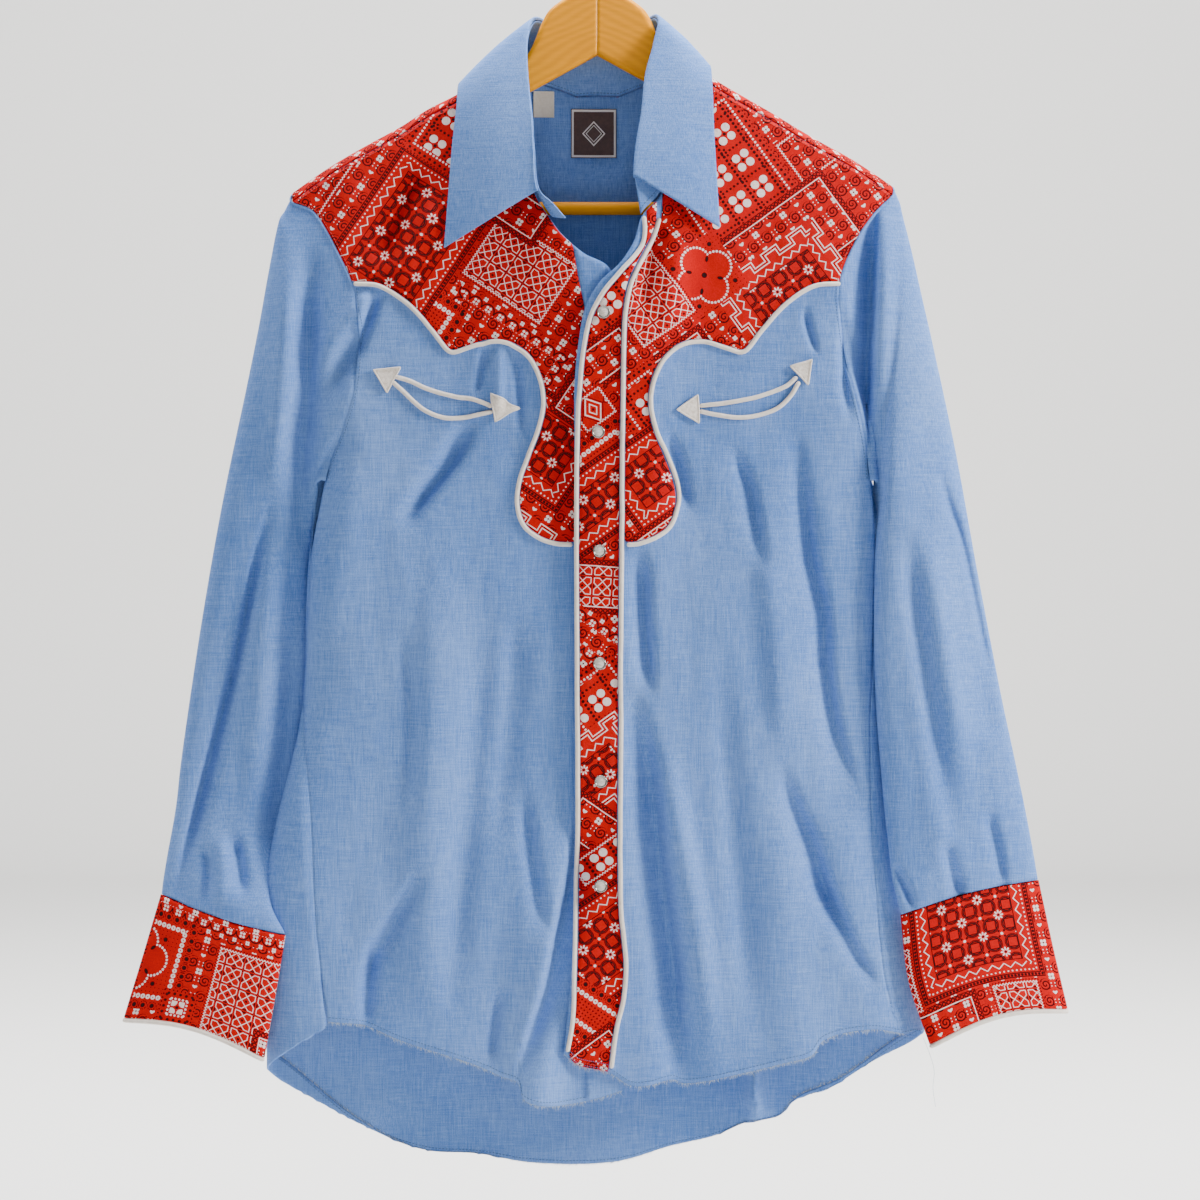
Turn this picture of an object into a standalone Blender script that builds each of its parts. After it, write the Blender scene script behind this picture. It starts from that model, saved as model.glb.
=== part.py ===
"""A western snap shirt on a flat wooden hanger.

Metres, +Z up. The front of the shirt faces -Y, the wearer's right is at -X, and the origin is the
inner top of the hanger's hook, where it hangs on a rod. Tables are in millimetres.

The front and the back of the shirt are two height fields over the XZ plane, front_y and back_y. Each
panel is a grid on one of them, made solid outwards. What lies on a panel is a copy of the same grid,
moved out by a layer and cut to its outline by a prism.
"""

import math

import bmesh
import bpy
import numpy as np
from mathutils import Vector
from mathutils.bvhtree import BVHTree

MM = 0.001

# Cloth
WALL = 1.2
LAYER = WALL + 0.3
OVERLAP_LIFT = 5.0
SEAM = 0.5
ARMHOLE_SEAM = 0.8
SHOULDER_SEAM_DROP = 6.0

# Body depth
FOLD_RADIUS = 8.0
FRONT_DEPTH = 27.0
BACK_DEPTH = 13.0
DEPTH_LENGTH = 150.0
SIDE_ROUND = 55.0
NECK_FRONT = 15.0
NECK_FRONT_WIDTH = 70.0
NECK_FRONT_Z = -265.0
NECK_FRONT_LENGTH = 95.0
NECK_BACK = 12.0
NECK_BACK_WIDTH = 60.0
NECK_BACK_DROP = 45.0
RIGHT_EDGE_Y = -10.0
LEFT_EDGE_Y = -4.0
ARMHOLE_LOW_Z = -340.0
UNDERARM_Z = -455.0
OVERLAP_FROM = 85.0
OVERLAP_FADE = 50.0

# Trim
PIPING_RADIUS = 1.6
PIPING_CLEAR = 0.5
PIPING_STEP = 10.5
PLACKET_STEP = 22.0
PLACKET_INSET = PIPING_RADIUS + 0.6
SNAP_RADIUS = 5.0
SNAP_CLEAR = 0.4
SNAP_SIDES = 9
SNAP_PROFILE = (
    # radius, height
    (0, 1.9), (2.4, 1.6), (3.5, 0.9), (4.2, 1.4), (4.8, 1.0), (5.0, 0.0), (0, 0),
)
ARROW_THICK = 1.2
ARROW_CLEAR = 0.8
ARROW_REACH = 2.0
LABEL_THICK = 0.6
LABEL_CLEAR = 0.8
LABEL_RAY_Y = 8.0
RAY_Y = 200.0

# Hanger
WOOD_THICK = 12.0
BAR_RADIUS = 5.0
BAR_Z = -246.6
WIRE_RADIUS = 1.75
HOOK_RADIUS = 20.0

# Top edge of the cloth: shoulder folds, with the arch of the neck between them.
TOP_EDGE = (
    # x, z
    (-236, -239), (-206, -218), (-179, -202), (-150, -186), (-128, -172), (-105, -160), (-62, -130),
    (-50, -124), (-30, -118), (0, -115), (30, -118), (50, -124),
    (62, -130), (87, -148), (136, -177), (166, -195), (195, -211), (228, -233),
)
# Outer edge of the whole figure above the underarm, and of the body below it.
SLEEVE_EDGE_RIGHT = ((-236, -237), (-252, -304), (-262, -356), (-278, -429), (-287, -484))
SLEEVE_EDGE_LEFT = ((228, -233), (245, -288), (261, -367), (277, -452), (284, -500))
BODY_EDGE_RIGHT = (
    (-181, -352), (-184, -385), (-192, -415), (-202, -440), (-206, -455), (-211, -480), (-217, -516),
    (-220, -556), (-222, -595), (-223, -630), (-230, -672), (-236, -703), (-240, -740), (-243, -773),
    (-247, -850), (-249, -890),
)
BODY_EDGE_LEFT = (
    (186, -345), (190, -370), (198, -400), (204, -430), (207, -455), (210, -484), (211, -520),
    (210, -560), (211, -600), (213, -640), (216, -684), (219, -722), (223, -762), (227, -803),
    (235, -843), (246, -875),
)
# Rows of each front, from the shoulder seam to the hem: a point on the neck and centre edge, and one
# on the armhole and side seam.
ROWS_RIGHT = (
    # centre_x, centre_z, side_x, side_z
    (-66, 0, -232, 0),
    (-63, -152, -217, -249),
    (-61, -172, -206, -264),
    (-58, -192, -196, -283),
    (-54, -215, -188, -300),
    (-46, -240, -184, -312),
    (-35, -258, -182, -330),
    (-26, -270, -181, -352),
    (-10, -284, -184, -385),
    (10, -296, -192, -415),
    (17, -325, -202, -440),
    (18, -360, -206, -455),
    (18, -400, -211, -480),
    (18, -445, -217, -516),
    (18, -545, -222, -595),
    (18, -600, -223, -630),
    (18, -702, -217, -705),
    (18, -755, -215, -745),
    (18, -810, -213, -785),
    (19, -865, -209, -825),
    (19, -917, -203, -865),
)
ROWS_LEFT = (
    # centre_x, centre_z, side_x, side_z
    (66, 0, 225, 0),
    (63, -152, 213, -249),
    (61, -172, 203, -262),
    (59, -197, 194, -278),
    (55, -222, 187, -294),
    (48, -240, 184, -307),
    (34, -256, 184, -325),
    (28, -275, 186, -345),
    (17, -292, 190, -370),
    (2, -306, 198, -400),
    (-9, -326, 204, -430),
    (-14, -352, 207, -455),
    (-17, -385, 210, -484),
    (-17, -430, 211, -520),
    (-17, -530, 209, -600),
    (-17, -580, 207, -640),
    (-17, -686, 208, -722),
    (-17, -740, 211, -762),
    (-18, -795, 214, -803),
    (-21, -848, 220, -843),
    (-25, -888, 233, -875),
)
FRONT_COLUMNS = (0, 0.06, 0.16, 0.27, 0.38, 0.5, 0.61, 0.72, 0.82, 0.9, 0.96, 1)
UNDERARM_ROW = 11
HEM_RIGHT = (
    # x, z
    (-203, -865), (-177, -868), (-146, -880), (-98, -895), (-71, -906), (-59, -910), (-56, -921),
    (-50, -925), (-33, -928), (-4, -924), (19, -917),
)
HEM_LEFT = (
    (-25, -888), (-15, -897), (9, -903), (26, -913), (37, -913), (57, -909), (66, -912), (105, -905),
    (145, -895), (162, -890), (171, -879), (208, -871), (233, -875),
)
HEM_BACK = (
    (-249, -890), (-233, -904), (-211, -924), (-192, -939), (-154, -962), (-128, -970), (-94, -972),
    (-50, -979), (14, -978), (57, -966), (92, -958), (118, -947), (140, -943), (153, -929), (186, -914),
    (225, -886), (246, -872),
)
# Columns of the back along its top edge: how far each starts past the fold, on the way down the back.
BACK_COLUMNS = (
    # x, start
    (-232, -6), (-195, -6), (-160, -6), (-126, -6), (-94, -6), (-66, -6), (-63, -2), (-61, 3),
    (-56, 10), (-42, 29), (-16, 43),
    (16, 43), (42, 29), (56, 10), (61, 3), (63, -2), (66, -6), (94, -6), (126, -6),
    (160, -6), (193, -6), (225, -6),
)
# Largest folds: a soft ridge (height above 0) or trough along a straight run.
FOLDS_FRONT = (
    # x0, z0, x1, z1, width, height
    (-92, -408, -142, -480, 9, -4.0),
    (-40, -700, -52, -930, 24, 9.0),
    (-24, -730, -44, -930, 15, 7.0),
    (-135, -753, -172, -866, 14, -5.0),
    (-176, -400, -206, -560, 16, 5.0),
    (24, -608, 64, -907, 14, -7.0),
    (54, -423, 68, -471, 10, -3.0),
    (102, -430, 125, -516, 10, -3.0),
    (150, -412, 185, -700, 13, -4.0),
    (125, -640, 150, -890, 20, 6.0),
    (139, -678, 182, -789, 13, -4.0),
    (95, -520, 100, -880, 26, 4.0),
    (-100, -560, -108, -880, 28, 5.0),
)
FOLDS_BACK = (
    (-70, -420, -90, -960, 26, 5.0),
    (0, -480, 4, -960, 22, -4.0),
    (80, -430, 112, -945, 24, 6.0),
    (120, -800, 124, -948, 9, -6.0),
    (-150, -520, -170, -930, 22, -4.0),
    (165, -560, 190, -900, 20, -4.0),
)
# Yoke edge, from the armhole to the centre, for +X; -X mirrors it.
YOKE_EDGE = (
    # x, z
    (185, -306), (165, -308), (143, -322), (125, -342), (113, -357), (109, -358.5), (97, -355),
    (80, -350.5), (64, -353), (51, -363), (43, -379), (40.5, -397), (44, -416), (52, -437), (59, -457),
    (60.5, -474), (56, -489), (46, -498), (31, -503.5), (10, -504),
)
YOKE_LEFT_START = 24.0
YOKE_FAR_X = 270.0
YOKE_TOP_Z = -90.0
YOKE_NECK_RIGHT = (-22, YOKE_TOP_Z)
YOKE_NECK_LEFT = ((53, -235), (53, YOKE_TOP_Z))
BACK_YOKE_TOP_Z = -60.0
# The x range of each yoke's piping, between the seams.
YOKE_PIPING_RIGHT = (-182.5, -19)
YOKE_PIPING_LEFT = (25, 182.5)
YOKE_PIPING_BACK = (-182, 182)
# The back's neck columns, its rows that come over the shoulder fold, and the rows over which its ends
# come round to the side seams.
NECK_COLUMNS = slice(6, 16)
WRAP_SHARES = (0.0, 0.26, 0.5, 0.75)
SIDE_WRAP_ROW = 8
SIDE_WRAP_ROWS = 5
NECK_STRIP = 12.0
BACK_YOKE_EDGE = (
    (187, -300), (165, -303), (143, -319), (125, -339), (113, -353), (109, -354), (94, -348), (70, -342),
    (48, -346), (28, -362), (12, -384), (0, -396),
)
# The placket's two piped edges, from the neck to the hem.
PLACKET_INNER = (
    # x, z
    (35, -258), (35, -266), (33, -277), (27, -287), (17, -299), (4, -315), (-5, -333), (-10, -356),
    (-13, -385), (-15, -430), (-15, -774), (-17, -830), (-19, -864), (-23, -885),
)
PLACKET_OUTER = (
    (46, -258), (42, -270), (35, -284), (29, -296), (25, -306), (22.5, -317), (21, -332), (20, -371),
    (19, -470), (18, -774), (20, -800), (22, -820), (20, -848), (15, -869), (11, -898),
)
PLACKET_TOP = ((46, -235), (38, -230))
PLACKET_BOTTOM = ((-16, -910), (8, -910))
# Centre edge of the right front yoke, where the blue band shows beside it.
BAND_EDGE = ((-22, -262), (-17, -284), (-15, -297), (-12, -312), (-9, -330), (-9, -560))
BAND_GAP = 0.8
BAND_CORNERS = ((-8.2, -940), (60, -940), (60, -240), (-20, -240))
SNAPS = ((5, -329), (1, -419), (2, -509), (2, -594), (3, -683), (3, -762))

# Sleeve sections from the armhole's first ring to the cuff: a point on the outer edge, one on the
# inner edge, and half the depth.
SLEEVE_RIGHT = (
    # outer_x, outer_z, outer_y, inner_x, inner_z, inner_y, half_depth
    (-243, -258, 1, -213, -465, -8, 15),
    (-250, -292, 3, -216, -480, -3, 18),
    (-258, -336, 4, -218.5, -502, 3, 20),
    (-267, -381, 4, -218.5, -525, 8, 21),
    (-286, -472, 4, -216.5, -576, 12, 21),
    (-302, -564, 3, -220, -628, 12, 19),
    (-316, -660, 0, -229, -688, 11, 17),
    (-321, -704, -2, -238.5, -718, 5, 15),
    (-327, -740, -6, -249, -750, -12, 13),
    (-330, -760, -9, -248, -777, -25, 11),
    (-331, -770, -11, -237, -799, -30, 9),
)
SLEEVE_LEFT = (
    (233, -252, 1, 211.5, -464, -8, 15),
    (240, -280, 1, 214, -480, -14, 18),
    (248, -316, 0, 212.5, -502, -20, 20),
    (256, -352, -2, 211.5, -525, -23, 21),
    (273, -433, -5, 211, -578, -25, 21),
    (289, -522, -7, 213, -634, -25, 19),
    (306, -612, -9, 218, -696, -26, 17),
    (315, -655, -10, 221, -726, -27, 16),
    (324, -698, -11, 224, -754, -28, 14),
    (331, -735, -12, 228, -772, -29, 11),
    (335, -759, -13, 231, -784, -30, 9),
)
SLEEVE_FOLDS_RIGHT = (
    (-212, -290, -225, -500, 9, -4.0),
    (-258, -480, -318, -765, 9, -5.0),
    (-258, -500, -264, -740, 12, 3.5),
)
SLEEVE_FOLDS_LEFT = (
    (208, -250, 206, -430, 8, -4.0),
    (262, -452, 300, -640, 8, -3.5),
    (240, -560, 262, -740, 12, 3.5),
)
SLEEVE_ROUNDNESS = 0.85
ARMHOLE_SPREAD = 1.8
CAP_STEP = 2.0
CAP_SHARE = 0.55
CAP_SWELL = 3.0
# Cuffs: outer and inner corners at the top and the bottom; the bottom edge is bowed up.
CUFF_RIGHT = (
    # outer_x, outer_z, outer_y, inner_x, inner_z, inner_y, half_depth, bow
    (-331, -770, -11, -237, -799, -30, 9, -3),
    (-345, -818, -13, -245, -847, -30, 9.5, 3),
    (-359, -864, -14, -253, -892, -30, 9.5, 9),
)
CUFF_LEFT = (
    (335, -759, -13, 231, -784, -30, 9, 4),
    (346, -810, -14, 242, -834, -30, 9.5, 7),
    (357, -857, -15, 253, -882, -30, 9.5, 10),
)
CUFF_WALL = 1.5
CUFF_SEAM = 0.7
CUFF_SNAP_SHARES = (0.3, 0.72)
CUFF_SNAP_TURN = math.pi * 0.42

# Collar roll line, from the right front end round the back to the left front end.
ROLL = (
    # x, z, y
    (-24, -258, -43), (-34, -247, -44), (-44, -237, -42), (-48, -204, -38), (-49.5, -180, -33),
    (-52, -158, -26), (-53.5, -139, -19), (-53.5, -121, -11), (-51, -108, -4), (-46, -102.5, 4),
    (-37, -105, 12), (-21, -112, 17), (0, -116, 19), (20, -112, 17), (35, -105, 12), (44, -100.5, 4),
    (47.5, -107, -4), (44.5, -124, -11), (38, -149, -20), (35, -178, -29), (31, -202, -35),
    (29, -227, -39),
)
# The leaf's outer edge, from the right point round the back to the left point.
LEAF_EDGE = (
    # x, z, y
    (-116, -279, -30.5), (-113, -240, -27.5), (-110, -200, -23), (-107, -170, -17), (-106, -152.5, -6),
    (-104, -150, 5), (-99, -154, 16), (-80, -163, 22), (-40, -170, 32), (0, -171, 36),
    (40, -170, 32), (70, -157, 22), (84, -143, 16), (86, -137.5, 5), (87, -139, -6), (88, -156, -17),
    (89, -190, -25.5), (91, -228, -31.5), (93, -264, -35.5),
)
LEAF_FIRST = 2
ROLL_SHOULDERS = (8, 16)
LEAF_SHOULDERS = (4, 14)
COLLAR_COUNTS = (11, 12, 11)
STAND_ROW = 6
STAND_ROWS = 2
NECK_SEAM = 0.6
NECK_CENTRE = (0.0, 0.0, -195.0)
NECK_TURN = 25.0
LEAF_ROWS = 4
LEAF_BULGE = 3.0
LEAF_CLEAR = 0.7
LEAF_TOP_REACH = 15.0
# The leaf's first rows, where it comes out of the stand and turns over: up and out from the roll.
LEAF_ROLL = ((LEAF_CLEAR, 0.0), (LEAF_CLEAR + 1.6, 1.4), (LEAF_CLEAR, 3.6))

# Smile pockets on the right front; the left front has its own.
POCKETS = {
    "right": {
        "outer_arrow": ((-169, -372), (-149, -370), (-159, -389)),
        "inner_arrow": ((-61, -401), (-78, -390), (-77, -411)),
        "upper": ((-152, -377), (-142, -380), (-129, -386), (-108, -392), (-94, -394), (-80, -399)),
        "lower": ((-154, -381.5), (-147, -388), (-131, -402), (-116, -408), (-100, -407.5), (-80, -403.5)),
    },
    "left": {
        "outer_arrow": ((163, -364), (147, -369), (160, -383)),
        "inner_arrow": ((60, -402), (76, -391), (77, -412)),
        "upper": ((79, -399), (97, -397), (118, -393), (134, -388), (145, -383), (150.5, -378)),
        "lower": ((79, -403.5), (91, -406), (107, -408), (123, -406), (137, -400.5), (147, -391),
                  (152.5, -382)),
    },
}
NECK_LABEL = (-20, -206, 15, -168)
CARE_LABEL = (-49, -175, -33, -155)

# One arm of the hanger: its neck, then a point where it starts to follow the shoulder, and its end.
ARM_NECK = (
    # x, z
    (0.15, -76), (14, -79.5), (28, -88.5), (37, -96), (42, -105), (46.5, -116), (51, -126),
    (56.5, -133), (64, -137.5),
)
ARM_SHOULDER = (72, 88, 110, 135, 160, 185, 197)
ARM_UNDER_CLOTH = 3.6
ARM_END = (
    (206, -227), (211, -236), (211, -247), (206, -254), (199, -256), (199, -240), (191, -236),
    (120, -196), (60, -162.5), (0.15, -129.6),
)
ARM_BEVEL = 3.0
BAR_HALF_LENGTH = 198.6
HOOK_STEM = ((0, -76.5), (0, -66), (0.5, -56), (4, -47.5), (9, -41.5))
HOOK_ARC = (-50, 202, 18)

COLOURS = {
    # slot: (colour, roughness, metallic)
    "chambray": ((0.17, 0.33, 0.62, 1), 0.85, 0.0),
    "bandana": ((0.62, 0.02, 0.015, 1), 0.8, 0.0),
    "piping": ((0.85, 0.8, 0.72, 1), 0.6, 0.0),
    "pearl": ((0.85, 0.83, 0.8, 1), 0.2, 0.3),
    "label": ((0.85, 0.8, 0.68, 1), 0.8, 0.0),
    "woven": ((0.1, 0.05, 0.05, 1), 0.7, 0.0),
    "wood": ((0.8, 0.42, 0.1, 1), 0.35, 0.0),
    "dowel": ((0.65, 0.38, 0.15, 1), 0.5, 0.0),
    "steel": ((0.7, 0.7, 0.72, 1), 0.25, 1.0),
}


# ---------------------------------------------------------------- scene and materials

def clear_scene():
    for obj in list(bpy.data.objects):
        bpy.data.objects.remove(obj, do_unlink=True)


def new_collection(name):
    collection = bpy.data.collections.new(name)
    bpy.context.scene.collection.children.link(collection)
    return collection


def material(slot):
    found = bpy.data.materials.get(slot)
    if found:
        return found
    colour, roughness, metallic = COLOURS[slot]
    made = bpy.data.materials.new(slot)
    made.use_nodes = True
    shader = made.node_tree.nodes["Principled BSDF"]
    shader.inputs["Base Color"].default_value = colour
    shader.inputs["Roughness"].default_value = roughness
    shader.inputs["Metallic"].default_value = metallic
    made.diffuse_color = colour
    return made


def add_object(name, data, slot, collection):
    obj = bpy.data.objects.new(name, data)
    collection.objects.link(obj)
    if slot:
        data.materials.append(material(slot))
    return obj


# ---------------------------------------------------------------- numbers

def smooth_step(t):
    t = min(max(t, 0.0), 1.0)
    return t * t * (3 - 2 * t)


def along(table, z, column=0):
    """A table of (x, z) rows going down, read at a height."""
    return float(np.interp(-z, [-row[1] for row in table], [row[column] for row in table]))


def height(table, x):
    """A table of (x, z) rows going right, read at an x."""
    return float(np.interp(x, [row[0] for row in table], [row[1] for row in table]))


def spline(points, step):
    """A centripetal Catmull-Rom curve through the points, resampled at about the step."""
    knots = np.array(points, float)
    knots = np.vstack([2 * knots[0] - knots[1], knots, 2 * knots[-1] - knots[-2]])
    fine = []
    for a, b, c, d in zip(knots, knots[1:], knots[2:], knots[3:]):
        t1 = np.linalg.norm(b - a) ** 0.5
        t2 = t1 + np.linalg.norm(c - b) ** 0.5
        t3 = t2 + np.linalg.norm(d - c) ** 0.5
        for t in np.linspace(t1, t2, 12, endpoint=False):
            ab = (t1 - t) / t1 * a + t / t1 * b
            bc = (t2 - t) / (t2 - t1) * b + (t - t1) / (t2 - t1) * c
            cd = (t3 - t) / (t3 - t2) * c + (t - t2) / (t3 - t2) * d
            first = (t2 - t) / t2 * ab + t / t2 * bc
            second = (t3 - t) / (t3 - t1) * bc + (t - t1) / (t3 - t1) * cd
            fine.append((t2 - t) / (t2 - t1) * first + (t - t1) / (t2 - t1) * second)
    fine = np.array(fine + [knots[-2]])
    return resampled(fine, max(2, round(path_length(fine) / step) + 1))


def path_length(points):
    return float(np.linalg.norm(np.diff(points, axis=0), axis=1).sum())


def resampled(points, count):
    points = np.array(points, float)
    run = np.concatenate([[0], np.cumsum(np.linalg.norm(np.diff(points, axis=0), axis=1))])
    wanted = np.linspace(0, run[-1], count)
    return np.column_stack([np.interp(wanted, run, column) for column in points.T])


def shifted(path, distance):
    """A path in the plane, moved to its left by a distance."""
    tangent = np.gradient(path, axis=0)
    tangent /= np.linalg.norm(tangent, axis=1)[:, None]
    return path + distance * np.column_stack([-tangent[:, 1], tangent[:, 0]])


# ---------------------------------------------------------------- the shirt's two faces

def relief(folds, x, z):
    """The folds' sum: each is a bell across its run, faded in at its first end."""
    total = 0.0
    for x0, z0, x1, z1, width, rise in folds:
        run_x, run_z = x1 - x0, z1 - z0
        t = ((x - x0) * run_x + (z - z0) * run_z) / (run_x**2 + run_z**2)
        held = min(max(t, 0.0), 1.0)
        away = math.hypot(x - x0 - held * run_x, z - z0 - held * run_z)
        total += rise * math.exp(-((away / width) ** 2)) * smooth_step(0.25 + 1.5 * held)
    return total


def underarm_share(z):
    """0 down to the lower part of the armhole, 1 from the underarm."""
    return smooth_step((ARMHOLE_LOW_Z - z) / (ARMHOLE_LOW_Z - UNDERARM_Z))


def edge_x(side, z):
    """The silhouette that the depth rounds to: the sleeves' outer edge, then the body's own."""
    sleeve, body = (SLEEVE_EDGE_RIGHT, BODY_EDGE_RIGHT) if side < 0 else (SLEEVE_EDGE_LEFT, BODY_EDGE_LEFT)
    share = underarm_share(z)
    return (1 - share) * along(sleeve, z) + share * along(body, z)


def rounding(x, z):
    """0 at the silhouette, 1 from SIDE_ROUND inside it; and the depth of that edge."""
    side = -1 if x < 0 else 1
    inside = side * (edge_x(side, z) - x)
    share = min(max(inside / SIDE_ROUND, 0.0), 1.0)
    edge_y = underarm_share(z) * (RIGHT_EDGE_Y if side < 0 else LEFT_EDGE_Y)
    return math.sqrt(1 - (1 - share) ** 2), edge_y


def fold_depth(drop, depth):
    """How far the cloth stands off below a fold: a quarter circle, then a slow rise."""
    share = min(max(drop / FOLD_RADIUS, 0.0), 1.0)
    slow = 1 - math.exp(-max(drop, 0) / DEPTH_LENGTH)
    return FOLD_RADIUS * math.sqrt(1 - (1 - share) ** 2) + depth * slow


def bell(value, width):
    return math.exp(-((value / width) ** 2))


def front_y(x, z):
    drop = height(TOP_EDGE, x) - z
    neck = NECK_FRONT * bell(x, NECK_FRONT_WIDTH) * bell(z - NECK_FRONT_Z, NECK_FRONT_LENGTH)
    full = -fold_depth(drop, FRONT_DEPTH) - neck
    turn, edge = rounding(x, z)
    return (1 - turn) * edge + turn * (full - relief(FOLDS_FRONT, x, z))


def back_y(x, z):
    drop = height(TOP_EDGE, x) - z
    neck = NECK_BACK * bell(x, NECK_BACK_WIDTH) * bell(drop - NECK_BACK_DROP, NECK_BACK_WIDTH)
    full = fold_depth(drop, BACK_DEPTH) + neck
    turn, edge = rounding(x, z)
    return (1 - turn) * edge + turn * (full + relief(FOLDS_BACK, x, z))


# ---------------------------------------------------------------- grids

def grid_object(name, points, slot, collection, closed=False):
    """A sheet of triangles over rows of points, each row closed into a ring if asked."""
    rows, columns = points.shape[:2]
    mesh = bmesh.new()
    corners = [[mesh.verts.new(Vector(p) * MM) for p in row] for row in points]
    for upper, lower in zip(corners, corners[1:]):
        for j in range(columns if closed else columns - 1):
            k = (j + 1) % columns
            mesh.faces.new((upper[j], lower[j], lower[k], upper[k]))
    bmesh.ops.triangulate(mesh, faces=mesh.faces[:], quad_method="FIXED")
    data = bpy.data.meshes.new(name)
    mesh.to_mesh(data)
    mesh.free()
    data.shade_smooth()
    return add_object(name, data, slot, collection)


def make_wall(obj, thickness=WALL):
    wall = obj.modifiers.new("wall", "SOLIDIFY")
    wall.thickness = thickness * MM
    wall.offset = 1.0


def lay_on(name, sheet, layer, outline, slot, collection, cutters):
    """A piece that lies on a panel: the panel's own points moved out, cut to an outline."""
    obj = add_object(name, sheet.data.copy(), None, collection)
    obj.data.materials.clear()
    obj.data.materials.append(material(slot))
    lift = obj.modifiers.new("layer", "DISPLACE")
    lift.strength = layer * MM
    lift.mid_level = 0.0
    make_wall(obj)
    cut = obj.modifiers.new("outline", "BOOLEAN")
    cut.operation = "INTERSECT"
    cut.object = prism(name + "_outline", outline, cutters)
    return obj


def as_mesh(obj, slot=None):
    """The object's evaluated shape as a mesh object with its caps welded; the curve goes."""
    graph = bpy.context.evaluated_depsgraph_get()
    data = bpy.data.meshes.new_from_object(obj.evaluated_get(graph))
    mesh = bmesh.new()
    mesh.from_mesh(data)
    bmesh.ops.remove_doubles(mesh, verts=mesh.verts, dist=1e-6)
    mesh.to_mesh(data)
    mesh.free()
    name, place, collection = obj.name, obj.matrix_world.copy(), obj.users_collection[0]
    bpy.data.objects.remove(obj, do_unlink=True)
    made = bpy.data.objects.new(name, data)
    made.matrix_world = place
    collection.objects.link(made)
    if slot:
        data.materials.append(material(slot))
    return made


def flat_outline(name, outline, thick, collection):
    """A plate of this outline in the XZ plane, centred on Y = 0."""
    curve = bpy.data.curves.new(name, "CURVE")
    curve.dimensions = "2D"
    curve.fill_mode = "BOTH"
    curve.extrude = thick / 2 * MM
    line = curve.splines.new("POLY")
    line.points.add(len(outline) - 1)
    for point, (x, z) in zip(line.points, outline):
        point.co = (x * MM, z * MM, 0, 1)
    line.use_cyclic_u = True
    obj = bpy.data.objects.new(name, curve)
    obj.rotation_euler = (math.pi / 2, 0, 0)
    collection.objects.link(obj)
    bpy.context.view_layer.update()
    return obj


def prism(name, outline, cutters):
    obj = as_mesh(flat_outline(name, outline, 200, cutters))
    obj.hide_render = True
    obj.display_type = "WIRE"
    return obj


def coons(top, bottom, first, last, shares):
    """A patch between four edges, all as arrays of points; first and last run from top to bottom."""
    rows, columns = len(first), len(top)
    patch = np.zeros((rows, columns, 2))
    for i in range(rows):
        v = i / (rows - 1)
        for j, u in enumerate(shares):
            corners = (1 - u) * (1 - v) * top[0] + u * (1 - v) * top[-1]
            corners = corners + (1 - u) * v * bottom[0] + u * v * bottom[-1]
            patch[i, j] = (1 - v) * top[j] + v * bottom[j] + (1 - u) * first[i] + u * last[i] - corners
    return patch


# ---------------------------------------------------------------- body

def front_rows(rows):
    """The rows with their shoulder seam's heights filled in."""
    filled = [list(row) for row in rows]
    for k in (0, 2):
        filled[0][k + 1] = height(TOP_EDGE, filled[0][k]) - SHOULDER_SEAM_DROP - SEAM
    return filled


def front_plan(rows, hem):
    """(x, z) of a front's grid."""
    rows = front_rows(rows)
    first = np.array([row[:2] for row in rows], float)
    last = np.array([row[2:] for row in rows], float)
    share = np.array(FRONT_COLUMNS)
    top_x = first[0, 0] + share * (last[0, 0] - first[0, 0])
    top = np.array([(x, height(TOP_EDGE, x) - SHOULDER_SEAM_DROP - SEAM) for x in top_x])
    low_x = first[-1, 0] + share * (last[-1, 0] - first[-1, 0])
    bottom = np.array([(x, height(hem, x)) for x in low_x])
    bottom[0], bottom[-1] = first[-1], last[-1]
    return coons(top, bottom, first, last, FRONT_COLUMNS)


def front_points(side):
    """The grid of a front. The left one is lifted over the right one along the centre."""
    rows, hem = (ROWS_RIGHT, HEM_RIGHT) if side < 0 else (ROWS_LEFT, HEM_LEFT)
    plan = front_plan(rows, hem)
    points = np.zeros(plan.shape[:2] + (3,))
    for i, row in enumerate(plan):
        for j, (x, z) in enumerate(row):
            lift = 0.0 if side < 0 else OVERLAP_LIFT * smooth_step((OVERLAP_FROM - x) / OVERLAP_FADE)
            points[i, j] = (x, front_y(x, z) - lift, z)
    return points


def path_to_x(p, side, z):
    """A place along a level line round the side, as (x, on the front). p is 0 at the silhouette."""
    far = abs(p)
    if far < SIDE_ROUND * math.pi / 2:
        inside = SIDE_ROUND * (1 - math.cos(far / SIDE_ROUND))
    else:
        inside = far - SIDE_ROUND * (math.pi / 2 - 1)
    return edge_x(side, z) - side * inside, p < 0


def wrap_length(side, x, z):
    """How far the side seam lies round on the front, along the level line."""
    inside = max(side * (edge_x(side, z) - x), 0.0)
    return SIDE_ROUND * math.acos(1 - min(inside / SIDE_ROUND, 1.0))


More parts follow.
